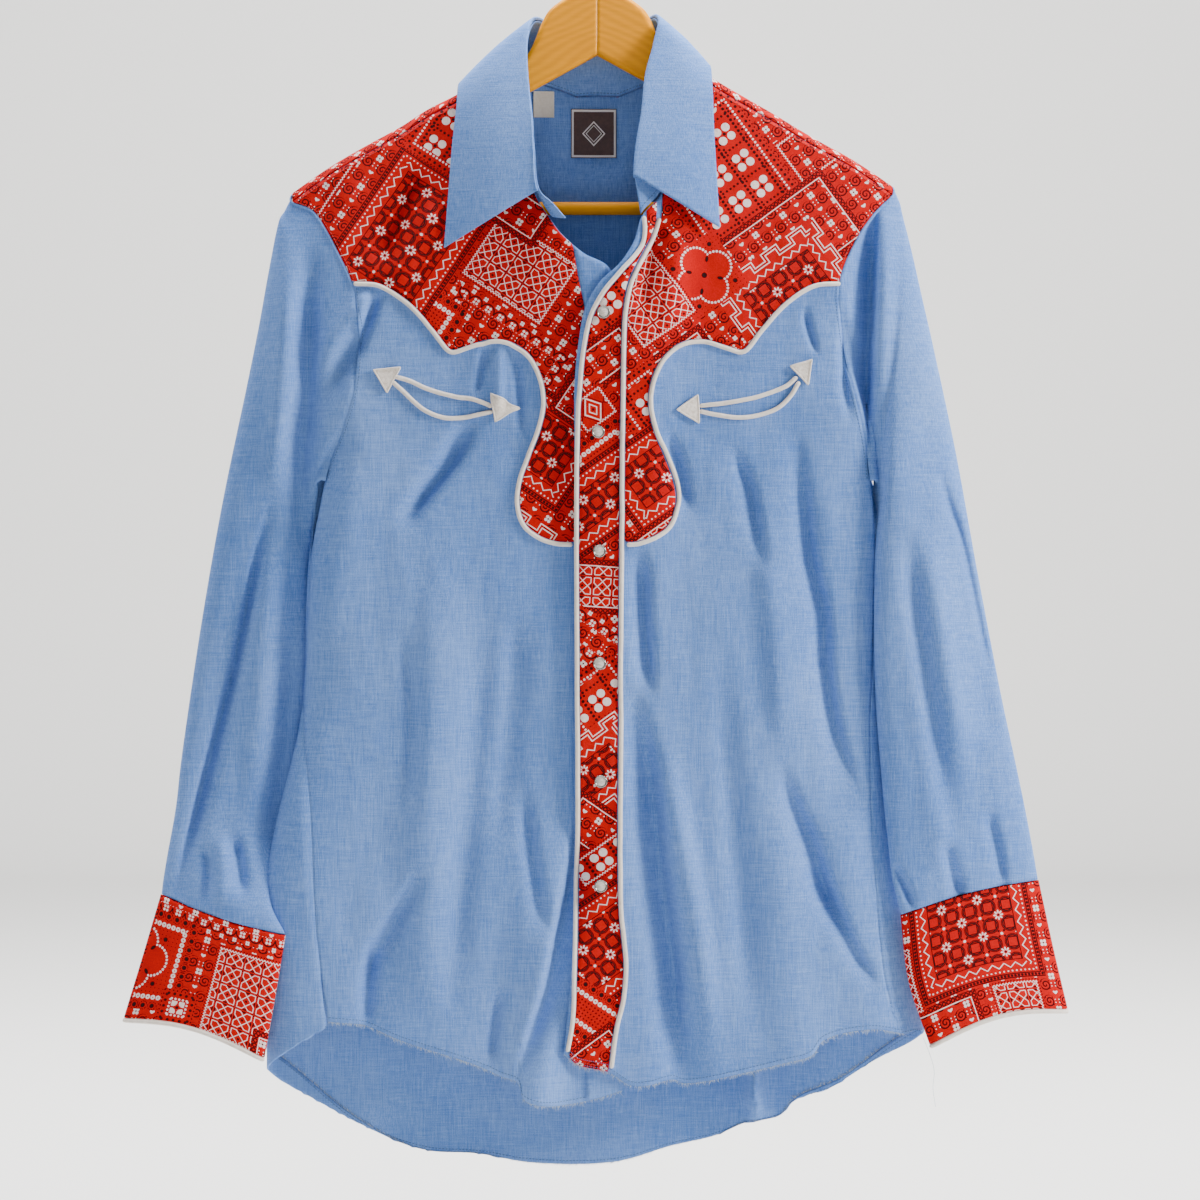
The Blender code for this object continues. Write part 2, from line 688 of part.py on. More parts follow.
def back_points():
    """The grid of the back: over the shoulder folds from the front, down, and round both sides."""
    rights, lefts = front_rows(ROWS_RIGHT), front_rows(ROWS_LEFT)
    count = len(BACK_COLUMNS)
    rows = len(rights)
    top = np.array([(x, 0.0) for x, start in BACK_COLUMNS])
    for j, (x, start) in enumerate(BACK_COLUMNS):
        top[j, 1] = height(TOP_EDGE, x) - (SHOULDER_SEAM_DROP + SEAM if start < 0 else start + NECK_STRIP)
    first = np.array([row[2:] for row in rights], float)
    last = np.array([row[2:] for row in lefts], float)
    first[0], last[0] = top[0], top[-1]
    low_x = np.linspace(HEM_BACK[0][0], HEM_BACK[-1][0], count)
    bottom = np.array([(x, height(HEM_BACK, x)) for x in low_x])
    bottom[0], bottom[-1] = first[-1], last[-1]
    plan = coons(top, bottom, first, last, np.linspace(0, 1, count))
    points = []
    for share in WRAP_SHARES:
        row = []
        for x, start in BACK_COLUMNS:
            # The shoulder columns start on the front, the neck's on the back; each ends at `top`.
            end = SHOULDER_SEAM_DROP + SEAM if start < 0 else start + NECK_STRIP
            place = start + share * (end - start)
            z = height(TOP_EDGE, x) - abs(place)
            y = front_y(x, z) if place < 0 else back_y(x, z)
            row.append((x, y, z))
        points.append(row)
    for i in range(rows):
        row = []
        low = smooth_step((i - SIDE_WRAP_ROW) / SIDE_WRAP_ROWS)
        wraps = [wrap_length(side, end[i, 0], end[i, 1]) for side, end in ((-1, first), (1, last))]
        z_mid = plan[i, count // 2, 1]
        span = edge_x(1, z_mid) - edge_x(-1, z_mid) + (math.pi - 2) * SIDE_ROUND
        for j in range(count):
            x, z = plan[i, j]
            on_front = False
            if low > 0:
                u = j / (count - 1)
                p = -wraps[0] + SEAM + u * (span + wraps[0] + wraps[1] - 2 * SEAM)
                if p < span / 2:
                    path_x, on_front = path_to_x(p, -1, z)
                else:
                    path_x, on_front = path_to_x(span - p, 1, z)
                x = (1 - low) * x + low * path_x
            y = front_y(x, z) if on_front and low == 1 else back_y(x, z)
            row.append((x, y, z))
        points.append(row)
    points = np.array(points)
    for column in points[-1]:
        end, edge = (first[-1], HEM_BACK[0]) if column[0] < 0 else (last[-1], HEM_BACK[-1])
        if column[1] < min(LEFT_EDGE_Y, RIGHT_EDGE_Y):
            share = (column[0] - end[0]) / (edge[0] - end[0])
            column[2] = end[1] + share * (edge[1] - end[1])
        else:
            column[2] = height(HEM_BACK, column[0])
    return points


def body(shirt):
    made = {}
    for name, side in (("front_right", -1), ("front_left", 1)):
        points = front_points(side)
        made[name] = grid_object(name, points[:, ::side], "chambray", shirt)
        make_wall(made[name])
    made["back"] = grid_object("back", back_points()[:, ::-1], "chambray", shirt)
    make_wall(made["back"])
    return made


# ---------------------------------------------------------------- seating small pieces

class Ground:
    """The faces of some pieces, met by a ray along Y."""

    def __init__(self, *objects):
        graph = bpy.context.evaluated_depsgraph_get()
        self.trees = [BVHTree.FromObject(obj, graph) for obj in objects]

    def meet(self, x, z, start_y, direction):
        """The y of the first face that is met, or None."""
        hits = []
        for tree in self.trees:
            place = tree.ray_cast(Vector((x, start_y, z)) * MM, Vector((0, direction, 0)))[0]
            if place:
                hits.append(direction * place.y / MM)
        return direction * min(hits) if hits else None

    def around(self, x, z, reach, start_y, direction):
        """What is met at a point and at four points round it."""
        offsets = ((0, 0), (reach, 0), (-reach, 0), (0, reach), (0, -reach))
        found = [self.meet(x + dx, z + dz, start_y, direction) for dx, dz in offsets]
        return [y for y in found if y is not None]

    def clear_front(self, x, z, reach):
        return min(self.around(x, z, reach, -RAY_Y, 1), default=front_y(x, z) - WALL)

    def clear_back(self, x, z, reach):
        return max(self.around(x, z, reach, RAY_Y, -1), default=back_y(x, z) + WALL)


def tube(name, points, radius, slot, collection, closed=False, resolution=1):
    curve = bpy.data.curves.new(name, "CURVE")
    curve.dimensions = "3D"
    curve.bevel_depth = radius * MM
    curve.bevel_resolution = resolution
    curve.use_fill_caps = not closed
    line = curve.splines.new("POLY")
    line.points.add(len(points) - 1)
    for point, place in zip(line.points, points):
        point.co = (*(Vector(place) * MM), 1)
    line.use_cyclic_u = closed
    return add_object(name, curve, slot, collection)


def piping(name, plan, ground, collection, back=False):
    """A corded edge that lies along a path on the panel."""
    radius = PIPING_RADIUS
    if back:
        points = [(x, ground.clear_back(x, z, radius) + radius + PIPING_CLEAR, z) for x, z in plan]
    else:
        points = [(x, ground.clear_front(x, z, radius) - radius - PIPING_CLEAR, z) for x, z in plan]
    return tube(name, points, radius, "piping", collection)


# ---------------------------------------------------------------- yokes, placket, pockets, snaps

def between(path, limits):
    """The part of a path whose x lies between two limits."""
    return path[(path[:, 0] > limits[0]) & (path[:, 0] < limits[1])]


def yoke_outline(side):
    """The outline of a front yoke: its piped edge, then up the centre, and well past the panel."""
    edge = spline([(side * x, z) for x, z in YOKE_EDGE], PIPING_STEP)
    inner = shifted(edge, -side * PLACKET_INSET)
    if side < 0:
        inner = inner[inner[:, 0] < BAND_EDGE[-1][0] - 0.5]
        centre = [(x, z) for x, z in reversed(BAND_EDGE) if z > inner[-1, 1] + 1]
        centre = [(BAND_EDGE[-1][0], inner[-1, 1])] + centre + [YOKE_NECK_RIGHT]
    else:
        limit = shifted(spline(PLACKET_OUTER, PIPING_STEP), PLACKET_INSET)
        inner = inner[inner[:, 0] > YOKE_LEFT_START]
        centre = [tuple(p) for p in limit[::-1] if p[1] > inner[-1, 1] + 1]
        centre = [(along(limit, inner[-1, 1]), inner[-1, 1])] + centre + list(YOKE_NECK_LEFT)
    far = side * YOKE_FAR_X
    return [(far, inner[0, 1])] + [tuple(p) for p in inner] + centre + [(far, YOKE_TOP_Z)]


def yokes(panels, shirt, cutters):
    for name, side in (("right", -1), ("left", 1)):
        panel = panels["front_" + name]
        node = "yoke_front_" + name
        lay_on(node, panel, LAYER, yoke_outline(side), "bandana", shirt, cutters)
    edge = spline(BACK_YOKE_EDGE, PIPING_STEP)
    half = shifted(edge, -PLACKET_INSET)
    half[-1, 0] = 0.0
    outline = [(YOKE_FAR_X, half[0, 1])] + [tuple(p) for p in half]
    outline += [(-x, z) for x, z in reversed(outline[:-1])]
    outline += [(-YOKE_FAR_X, BACK_YOKE_TOP_Z), (YOKE_FAR_X, BACK_YOKE_TOP_Z)]
    lay_on("yoke_back", panels["back"], LAYER, outline, "bandana", shirt, cutters)


def placket(panels, shirt, cutters):
    inner = shifted(spline(PLACKET_INNER, PIPING_STEP), PLACKET_INSET)
    outer = shifted(spline(PLACKET_OUTER, PIPING_STEP), -PLACKET_INSET)
    outline = [PLACKET_TOP[1]] + [tuple(p) for p in inner] + list(PLACKET_BOTTOM)
    outline += [tuple(p) for p in outer[::-1]] + [PLACKET_TOP[0]]
    band = [(x + BAND_GAP, z) for x, z in BAND_EDGE] + list(BAND_CORNERS)
    lay_on("underlap_band", panels["front_right"], LAYER, band, "chambray", shirt, cutters)
    return lay_on("placket", panels["front_left"], LAYER, outline, "bandana", shirt, cutters)


def front_piping(panels, shirt):
    right, left = Ground(panels["front_right"]), Ground(panels["front_left"])
    edge = spline(YOKE_EDGE, PIPING_STEP)
    piping("piping_yoke_right", between(edge * (-1, 1), YOKE_PIPING_RIGHT), right, shirt)
    piping("piping_yoke_left", between(edge, YOKE_PIPING_LEFT), left, shirt)
    piping("piping_placket_inner", spline(PLACKET_INNER, PLACKET_STEP), left, shirt)
    piping("piping_placket_outer", spline(PLACKET_OUTER, PLACKET_STEP), left, shirt)
    back = spline(BACK_YOKE_EDGE, PIPING_STEP)
    whole = np.vstack([back, back[-2::-1] * (-1, 1)])
    piping("piping_yoke_back", between(whole, YOKE_PIPING_BACK), Ground(panels["back"]), shirt, back=True)


def arrowhead(name, corners, ground, collection):
    mesh = bmesh.new()
    verts = []
    for x, z in corners:
        y = ground.clear_front(x, z, ARROW_REACH) - ARROW_CLEAR
        verts.append(mesh.verts.new(Vector((x, y, z)) * MM))
    face = mesh.faces.new(verts)
    face.normal_update()
    if face.normal.y > 0:
        face.normal_flip()
    data = bpy.data.meshes.new(name)
    mesh.to_mesh(data)
    mesh.free()
    make_wall(add_object(name, data, "piping", collection), ARROW_THICK)


def pockets(panels, shirt):
    for side, parts in POCKETS.items():
        ground = Ground(panels["front_" + side])
        for which in ("upper", "lower"):
            path = spline(parts[which], PIPING_STEP)
            piping(f"pocket_{side}_welt_{which}", path, ground, shirt)
        for which in ("outer", "inner"):
            arrowhead(f"arrow_{side}_{which}", parts[which + "_arrow"], ground, shirt)


def snap_mesh():
    """A pearl snap: a low dome in a raised ring, turned about Z."""
    mesh = bmesh.new()
    verts = [mesh.verts.new((r * MM, 0, h * MM)) for r, h in SNAP_PROFILE]
    for a, b in zip(verts, verts[1:]):
        mesh.edges.new((a, b))
    data = bpy.data.meshes.new("snap_profile")
    mesh.to_mesh(data)
    mesh.free()
    return data


def snap(name, place, normal, collection):
    obj = add_object(name, snap_mesh(), "pearl", collection)
    turn = obj.modifiers.new("turn", "SCREW")
    turn.steps = turn.render_steps = SNAP_SIDES
    turn.use_merge_vertices = True
    turn.merge_threshold = 0.00001
    obj.location = Vector(place) * MM
    obj.rotation_mode = "QUATERNION"
    obj.rotation_quaternion = normal.to_track_quat("Z", "X")


def placket_snaps(band, shirt):
    ground = Ground(band)
    for index, (x, z) in enumerate(SNAPS, 1):
        y = ground.clear_front(x, z, SNAP_RADIUS) - SNAP_CLEAR
        snap(f"snap_{index}", (x, y, z), Vector((0, -1, 0)), shirt)


# ---------------------------------------------------------------- sleeves and cuffs

def section(row, sides, bow=0.0):
    """A flattened ring: out along its front face from the outer edge to the inner, back behind."""
    outer_x, outer_z, outer_y, inner_x, inner_z, inner_y, half = row[:7]
    points = []
    for angle in sides:
        share = (1 - math.cos(angle)) / 2
        bulge = math.copysign(abs(math.sin(angle)) ** SLEEVE_ROUNDNESS, math.sin(angle))
        points.append((
            outer_x + share * (inner_x - outer_x),
            outer_y + share * (inner_y - outer_y) - half * bulge,
            outer_z + share * (inner_z - outer_z) + bow * math.sin(math.pi * share),
        ))
    return points


def ring_angles():
    front = [math.pi * (i + 1) / 12 for i in range(UNDERARM_ROW + 1)]
    return front + [math.pi + math.pi * (i + 1) / 12 for i in range(UNDERARM_ROW)] + [2 * math.pi]


def armhole_ring(side):
    """The armhole's edges, front and back, moved off the panels by a seam."""
    front = front_points(side)[: UNDERARM_ROW + 1, -1]
    start = len(WRAP_SHARES)
    back = back_points()[:, 0 if side < 0 else -1]
    up = back[start : start + UNDERARM_ROW][::-1]
    top = back[start - 2]
    plan = front[:, [0, 2]]
    tangent = np.gradient(plan, axis=0)
    tangent /= np.linalg.norm(tangent, axis=1)[:, None]
    away = -side * np.column_stack([tangent[:, 1], np.zeros(len(plan)), -tangent[:, 0]])
    away *= np.linspace(1, ARMHOLE_SPREAD, len(plan))[:, None]
    away = np.vstack([away, away[:UNDERARM_ROW][::-1], away[:1]])
    return np.vstack([front, up, top]) + ARMHOLE_SEAM * away, away


def sleeve(side, shirt):
    table, cuff = (SLEEVE_RIGHT, CUFF_RIGHT) if side < 0 else (SLEEVE_LEFT, CUFF_LEFT)
    folds = SLEEVE_FOLDS_RIGHT if side < 0 else SLEEVE_FOLDS_LEFT
    angles = ring_angles()
    armhole, away = armhole_ring(side)
    rings = [armhole]
    for index, row in enumerate(table):
        bow = cuff[0][7] * max(0, 1 - (len(table) - 1 - index) / 3)
        ring = np.array(section(row, angles, bow))
        for point, angle in zip(ring, angles):
            if math.sin(angle) > 0:
                point[1] -= relief(folds, point[0], point[2]) * math.sin(angle)
        rings.append(ring)
    swelled = CAP_SHARE * rings[0] + (1 - CAP_SHARE) * rings[1] + away * CAP_SWELL
    rings[1:1] = [rings[0] + away * CAP_STEP, swelled]
    name = "sleeve_right" if side < 0 else "sleeve_left"
    points = np.array(rings)
    make_wall(grid_object(name, points if side < 0 else points[:, ::-1], "chambray", shirt, closed=True))


def cuff(side, shirt):
    table = CUFF_RIGHT if side < 0 else CUFF_LEFT
    name = "right" if side < 0 else "left"
    angles = ring_angles()
    rings = np.array([section(row, angles, row[7]) for row in table])
    down = rings[-1] - rings[0]
    down /= np.linalg.norm(down, axis=1)[:, None]
    rings[0] += CUFF_SEAM * down
    grid = rings if side < 0 else rings[:, ::-1]
    obj = grid_object("cuff_" + name, grid, "bandana", shirt, closed=True)
    make_wall(obj, CUFF_WALL)
    out = np.column_stack([np.zeros(len(angles)), -np.sin(angles), np.zeros(len(angles))])
    edge = rings[-1] + (PIPING_RADIUS + PIPING_CLEAR) * down + 0.5 * CUFF_WALL * out
    tube("piping_cuff_" + name, edge, PIPING_RADIUS, "piping", shirt, closed=True)
    ground = Ground(obj)
    middle = np.array(section(table[1], (CUFF_SNAP_TURN,))[0])
    for index, share in enumerate(CUFF_SNAP_SHARES, 1):
        place = middle + (share - 0.5) * (rings[-1, 5] - rings[0, 5])
        y = ground.clear_back(place[0], place[2], SNAP_RADIUS) + SNAP_CLEAR
        snap(f"cuff_snap_{name}_{index}", (place[0], y, place[2]), Vector((0, 1, 0)), shirt)


# ---------------------------------------------------------------- collar

def neck_ring():
    """The neck seam from the right front round the back to the left front, moved in off the panels."""
    right = front_points(-1)[STAND_ROW::-1, 0]
    back = back_points()[0, NECK_COLUMNS]
    left = front_points(1)[: STAND_ROW + 1, 0]
    ring = [np.array(p, float) for p in (*right, *back, *left)]
    moved = []
    for place in ring:
        inward = np.array(NECK_CENTRE) - place
        inward[1] = 0.0
        inward /= np.linalg.norm(inward)
        forward = smooth_step(-place[1] / NECK_TURN)
        lift = np.array([0.0, 0.0, 1.0]) * (1 - forward) + inward * forward
        moved.append(place + lift * (NECK_SEAM + WALL * forward))
    return np.array(moved)


def three_runs(points, cuts, counts):
    """A path resampled run by run, so that two paths match at their cuts."""
    marks = [0, *cuts, len(points) - 1]
    runs = []
    for a, b, count in zip(marks, marks[1:], counts):
        runs.append(resampled(points[a : b + 1], count)[(1 if runs else 0) :])
    return np.vstack(runs)


def unit(vectors):
    return vectors / np.linalg.norm(vectors, axis=1)[:, None]


def across(vectors, direction):
    """What is left of the vectors when their share along a unit direction is taken away."""
    return vectors - (vectors * direction).sum(axis=1)[:, None] * direction


def axis_order(table):
    return np.array([(x, y, z) for x, z, y in table], float)


def collar(shirt):
    ring = neck_ring()
    roll = axis_order(ROLL)
    side_count = STAND_ROW + 1
    base = three_runs(ring, (side_count, len(ring) - side_count - 1), COLLAR_COUNTS)
    top = three_runs(roll, ROLL_SHOULDERS, COLLAR_COUNTS)
    rows = []
    for share in np.linspace(1, 0, STAND_ROWS + 1):
        rows.append(base + share * (top - base))
    stand = grid_object("collar_stand", np.array(rows), "chambray", shirt)
    make_wall(stand)

    inner = three_runs(roll[LEAF_FIRST:], [k - LEAF_FIRST for k in ROLL_SHOULDERS], COLLAR_COUNTS)
    edge = three_runs(axis_order(LEAF_EDGE), LEAF_SHOULDERS, COLLAR_COUNTS)
    nearest = [int(np.argmin(np.linalg.norm(top - place, axis=1))) for place in inner]
    along_roll = unit(np.gradient(inner, axis=0))
    up = unit(across(top[nearest] - base[nearest], along_roll))
    out = unit(across(across(edge - inner, along_roll), up))
    rows = [inner + up * rise + out * reach for rise, reach in LEAF_ROLL]
    for share in np.linspace(0, 1, LEAF_ROWS + 1)[1:]:
        bulge = LEAF_BULGE * math.sin(math.pi * share)
        start = rows[2]
        row = start + share * (edge - start)
        front = np.minimum(abs(row[:, 1]) / LEAF_TOP_REACH, 1)
        row[:, 1] += np.where(row[:, 1] < 0, -bulge, bulge) * front
        row[:, 2] += bulge * np.maximum(0, 1 - abs(row[:, 1]) / LEAF_TOP_REACH)
        rows.append(row)
    leaf = grid_object("collar_leaf", np.array(rows), "chambray", shirt)
    make_wall(leaf)


def labels(panels, shirt):
    ground = Ground(panels["back"])
    for name, corners, slot in (("neck_label", NECK_LABEL, "woven"), ("care_label", CARE_LABEL, "label")):
        x0, z0, x1, z1 = corners
        rows = []
        for z in np.linspace(z1, z0, 4):
            row = []
            for x in np.linspace(x0, x1, 4):
                y = ground.meet(x, z, LABEL_RAY_Y, 1)
                row.append((x, (back_y(x, z) if y is None else y) - LABEL_CLEAR, z))
            rows.append(row)
        make_wall(grid_object(name, np.array(rows), slot, shirt), LABEL_THICK)


# ---------------------------------------------------------------- hanger

def hanger(shirt):
    shoulder = [(x, height(TOP_EDGE, x) - ARM_UNDER_CLOTH) for x in ARM_SHOULDER]
    outline = list(ARM_NECK) + shoulder + list(ARM_END)
    for name, side in (("hanger_arm_left", 1), ("hanger_arm_right", -1)):
        points = [(side * x, z) for x, z in outline]
        arm = as_mesh(flat_outline(name, points, WOOD_THICK, shirt), "wood")
        bevel = arm.modifiers.new("round", "BEVEL")
        bevel.width = ARM_BEVEL * MM
        bevel.segments = 2
        bevel.limit_method = "ANGLE"
        bevel.angle_limit = math.radians(60)
    ends = [(-BAR_HALF_LENGTH, 0, BAR_Z), (BAR_HALF_LENGTH, 0, BAR_Z)]
    tube("hanger_bar", ends, BAR_RADIUS, "dowel", shirt, resolution=4)
    radius = HOOK_RADIUS + WIRE_RADIUS
    first, last, step = HOOK_ARC
    arc = [
        (radius * math.cos(math.radians(a)), -HOOK_RADIUS + radius * math.sin(math.radians(a)))
        for a in range(first, last + 1, step)
    ]
    wire = [(x, 0, z) for x, z in list(HOOK_STEM) + arc]
    tube("hanger_hook", wire, WIRE_RADIUS, "steel", shirt, resolution=2)


# ---------------------------------------------------------------- run

def main():
    clear_scene()
    shirt = new_collection("western_snap_shirt")
    cutters = new_collection("cutters")
    panels = body(shirt)
    yokes(panels, shirt, cutters)
    band = placket(panels, shirt, cutters)
    bpy.context.view_layer.update()
    front_piping(panels, shirt)
    pockets(panels, shirt)
    placket_snaps(band, shirt)
    for side in (-1, 1):
        sleeve(side, shirt)
        cuff(side, shirt)
    collar(shirt)
    labels(panels, shirt)
    hanger(shirt)


main()
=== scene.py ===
"""A western snap shirt on a flat wooden hanger: fine cloth, print, trim and light.

Every piece of cloth is a thin shell on the form of its solid. The form is worked out from the same
named sizes as the solids, in millimetres: the front and the back are heights over the XZ plane, the
sleeves and cuffs are rings, and the collar runs between two curves.
"""

import math

import bpy
import numpy as np
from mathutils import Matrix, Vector
from mathutils.geometry import delaunay_2d_cdt


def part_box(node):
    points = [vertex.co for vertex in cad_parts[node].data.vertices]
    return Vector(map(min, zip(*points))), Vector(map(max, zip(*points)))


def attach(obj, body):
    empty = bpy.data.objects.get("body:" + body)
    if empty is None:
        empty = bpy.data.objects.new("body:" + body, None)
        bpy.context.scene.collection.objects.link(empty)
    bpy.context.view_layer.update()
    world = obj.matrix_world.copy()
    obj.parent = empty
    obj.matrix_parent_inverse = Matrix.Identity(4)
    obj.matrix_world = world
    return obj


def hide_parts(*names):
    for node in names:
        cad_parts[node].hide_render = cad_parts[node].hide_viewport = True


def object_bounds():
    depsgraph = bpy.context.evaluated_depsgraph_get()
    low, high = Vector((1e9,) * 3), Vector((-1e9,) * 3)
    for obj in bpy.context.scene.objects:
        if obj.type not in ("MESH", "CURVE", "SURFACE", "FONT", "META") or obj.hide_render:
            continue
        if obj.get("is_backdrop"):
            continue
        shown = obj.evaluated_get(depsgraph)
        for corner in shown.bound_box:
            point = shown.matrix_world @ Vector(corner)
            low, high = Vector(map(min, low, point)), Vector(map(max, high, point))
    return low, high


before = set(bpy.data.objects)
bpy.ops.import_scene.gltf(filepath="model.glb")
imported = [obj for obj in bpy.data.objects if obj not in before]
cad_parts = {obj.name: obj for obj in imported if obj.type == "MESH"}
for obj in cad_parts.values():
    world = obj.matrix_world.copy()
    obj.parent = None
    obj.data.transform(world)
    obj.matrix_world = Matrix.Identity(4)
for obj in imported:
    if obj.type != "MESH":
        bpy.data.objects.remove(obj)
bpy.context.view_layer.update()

bl_info = {
    "name": "Western snap shirt",
    "version": (1, 0, 0),
    "blender": (4, 5, 0),
    "location": "View3D > Sidebar > Shirt",
    "description": "Builds a western snap shirt on a hanger from its cut sizes",
    "category": "Add Mesh",
}

MM = 0.001

# ---------------------------------------------------------------- sizes, in millimetres

LAYER = 0.95
OVERLAP_LIFT = 5.0
SEAM = 0.15
ARMHOLE_SEAM = 0.1
CREASE_DEPTH = 2.7
CORD_LAYER = 2.2
PLACKET_INSET = 2.2
EDGE_INSET = 0.4
SHOULDER_SEAM_DROP = 6.0
FOLD_RADIUS = 8.0
FRONT_DEPTH = 27.0
BACK_DEPTH = 13.0
DEPTH_LENGTH = 150.0
SIDE_ROUND = 55.0
NECK_FRONT = 15.0
NECK_BACK = 12.0
RIGHT_EDGE_Y = -10.0
LEFT_EDGE_Y = -4.0
UNDERARM_Z = -455.0
UNDERARM_ROW = 11
NECK_STRIP = 12.0
NECK_COLUMNS = (6, 15)
STAND_ROW = 6

TOP_EDGE = (
    # x, z
    (-236, -239), (-206, -218), (-179, -202), (-150, -186), (-128, -172), (-105, -160), (-62, -130),
    (-50, -124), (-30, -118), (0, -115), (30, -118), (50, -124),
    (62, -130), (87, -148), (136, -177), (166, -195), (195, -211), (228, -233),
)
SLEEVE_EDGE_RIGHT = ((-236, -237), (-252, -304), (-262, -356), (-278, -429), (-287, -484))
SLEEVE_EDGE_LEFT = ((228, -233), (245, -288), (261, -367), (277, -452), (284, -500))
BODY_EDGE_RIGHT = (
    (-181, -352), (-184, -385), (-193, -415), (-204, -440), (-210, -455), (-215, -480), (-219, -516),
    (-221, -556), (-222, -595), (-224, -630), (-233, -672), (-241, -703), (-249, -740), (-255, -773),
    (-254, -850), (-251, -890),
)
BODY_EDGE_LEFT = (
    (186, -345), (190, -370), (202, -400), (216, -430), (222, -455), (225, -484), (222, -520),
    (219, -560), (217, -600), (219, -640), (222, -684), (225, -722), (230, -762), (236, -803),
    (243, -843), (249, -875),
)
ROWS_RIGHT = (
    # centre_x, centre_z, side_x, side_z
    (-66, 0, -232, 0), (-63, -152, -217, -249), (-61, -172, -206, -264), (-58, -192, -196, -283),
    (-54, -215, -188, -300), (-46, -240, -184, -312), (-35, -258, -182, -330), (-26, -270, -181, -352),
    (-10, -284, -184, -385), (10, -296, -192, -415), (17, -325, -202, -440), (18, -360, -206, -455),
    (18, -400, -211, -480), (18, -445, -217, -516), (18, -545, -222, -595), (18, -600, -223, -630),
    (18, -702, -217, -705), (18, -755, -215, -745), (18, -810, -213, -785), (19, -865, -209, -825),
    (19, -917, -203, -865),
)
ROWS_LEFT = (
    # centre_x, centre_z, side_x, side_z
    (66, 0, 225, 0), (63, -152, 213, -249), (61, -172, 203, -262), (59, -197, 194, -278),
    (55, -222, 187, -294), (48, -240, 184, -307), (34, -256, 184, -325), (28, -275, 186, -345),
    (17, -292, 190, -370), (2, -306, 198, -400), (-9, -326, 204, -430), (-14, -352, 207, -455),
    (-17, -385, 210, -484), (-17, -430, 211, -520), (-17, -530, 209, -600), (-17, -580, 207, -640),
    (-17, -686, 208, -722), (-17, -740, 211, -762), (-18, -795, 214, -803), (-21, -848, 220, -843),
    (-25, -888, 233, -875),
)
HEM_RIGHT = (
    # x, z
    (-203, -865), (-177, -868), (-146, -880), (-98, -895), (-71, -906), (-59, -910), (-56, -921),
    (-50, -925), (-33, -928), (-4, -924), (19, -917),
)
HEM_LEFT = (
    (-25, -888), (-15, -897), (9, -903), (26, -913), (37, -913), (57, -909), (66, -912), (105, -905),
    (145, -895), (162, -890), (171, -879), (208, -871), (233, -875),
)
HEM_BACK = (
    (-249, -890), (-233, -904), (-211, -924), (-192, -939), (-154, -962), (-128, -970), (-94, -972),
    (-50, -979), (14, -978), (57, -966), (92, -958), (118, -947), (140, -943), (153, -929), (186, -914),
    (225, -886), (246, -872),
)
BACK_COLUMNS = (
    # x, start
    (-232, -6), (-195, -6), (-160, -6), (-126, -6), (-94, -6), (-66, -6), (-63, -2), (-61, 3),
    (-56, 10), (-42, 29), (-16, 43),
    (16, 43), (42, 29), (56, 10), (61, 3), (63, -2), (66, -6), (94, -6), (126, -6),
    (160, -6), (193, -6), (225, -6),
)
FOLDS_FRONT = (
    # x0, z0, x1, z1, width, height
    (-92, -408, -142, -480, 9, -4.0), (-40, -700, -52, -930, 24, 9.0), (-24, -730, -44, -930, 15, 7.0),
    (-135, -753, -172, -866, 14, -5.0), (-176, -400, -206, -560, 16, 5.0),
    (24, -608, 64, -907, 14, -7.0), (54, -423, 68, -471, 10, -3.0), (102, -430, 125, -516, 10, -3.0),
    (150, -412, 185, -700, 13, -4.0), (125, -640, 150, -890, 20, 6.0), (139, -678, 182, -789, 13, -4.0),
    (95, -520, 100, -880, 26, 4.0), (-100, -560, -108, -880, 28, 5.0),
)
FOLDS_BACK = (
    (-70, -420, -90, -960, 26, 5.0), (0, -480, 4, -960, 22, -4.0), (80, -430, 112, -945, 24, 6.0),
    (120, -800, 124, -948, 9, -6.0), (-150, -520, -170, -930, 22, -4.0), (165, -560, 190, -900, 20, -4.0),
)
YOKE_EDGE = (
    # x, z
    (185, -306), (165, -308), (143, -322), (125, -342), (113, -357), (109, -358.5), (97, -355),
    (80, -350.5), (64, -353), (51, -363), (43, -379), (40.5, -397), (44, -416), (52, -437), (59, -457),
    (60.5, -474), (56, -489), (46, -498), (31, -503.5), (10, -504),
)
BACK_YOKE_EDGE = (
    (187, -300), (165, -303), (143, -319), (125, -339), (113, -353), (109, -354), (94, -348), (70, -342),
    (48, -346), (28, -362), (12, -384), (0, -396),
)
PLACKET_INNER = (
    # x, z
    (35, -258), (35, -266), (33, -277), (27, -287), (17, -299), (4, -315), (-5, -333), (-10, -356),
    (-13, -385), (-15, -430), (-15, -774), (-17, -830), (-19, -864), (-23, -885),
)
PLACKET_OUTER = (
    (46, -258), (42, -270), (35, -284), (29, -296), (25, -306), (22.5, -317), (21, -332), (20, -371),
    (19, -470), (18, -774), (20, -800), (22, -820), (20, -848), (15, -869), (11, -898),
)
BAND_EDGE = ((-22, -262), (-17, -284), (-15, -297), (-12, -312), (-9, -330), (-9, -560))
SNAPS = ((5, -329), (1, -419), (2, -509), (2, -594), (3, -683), (3, -762))

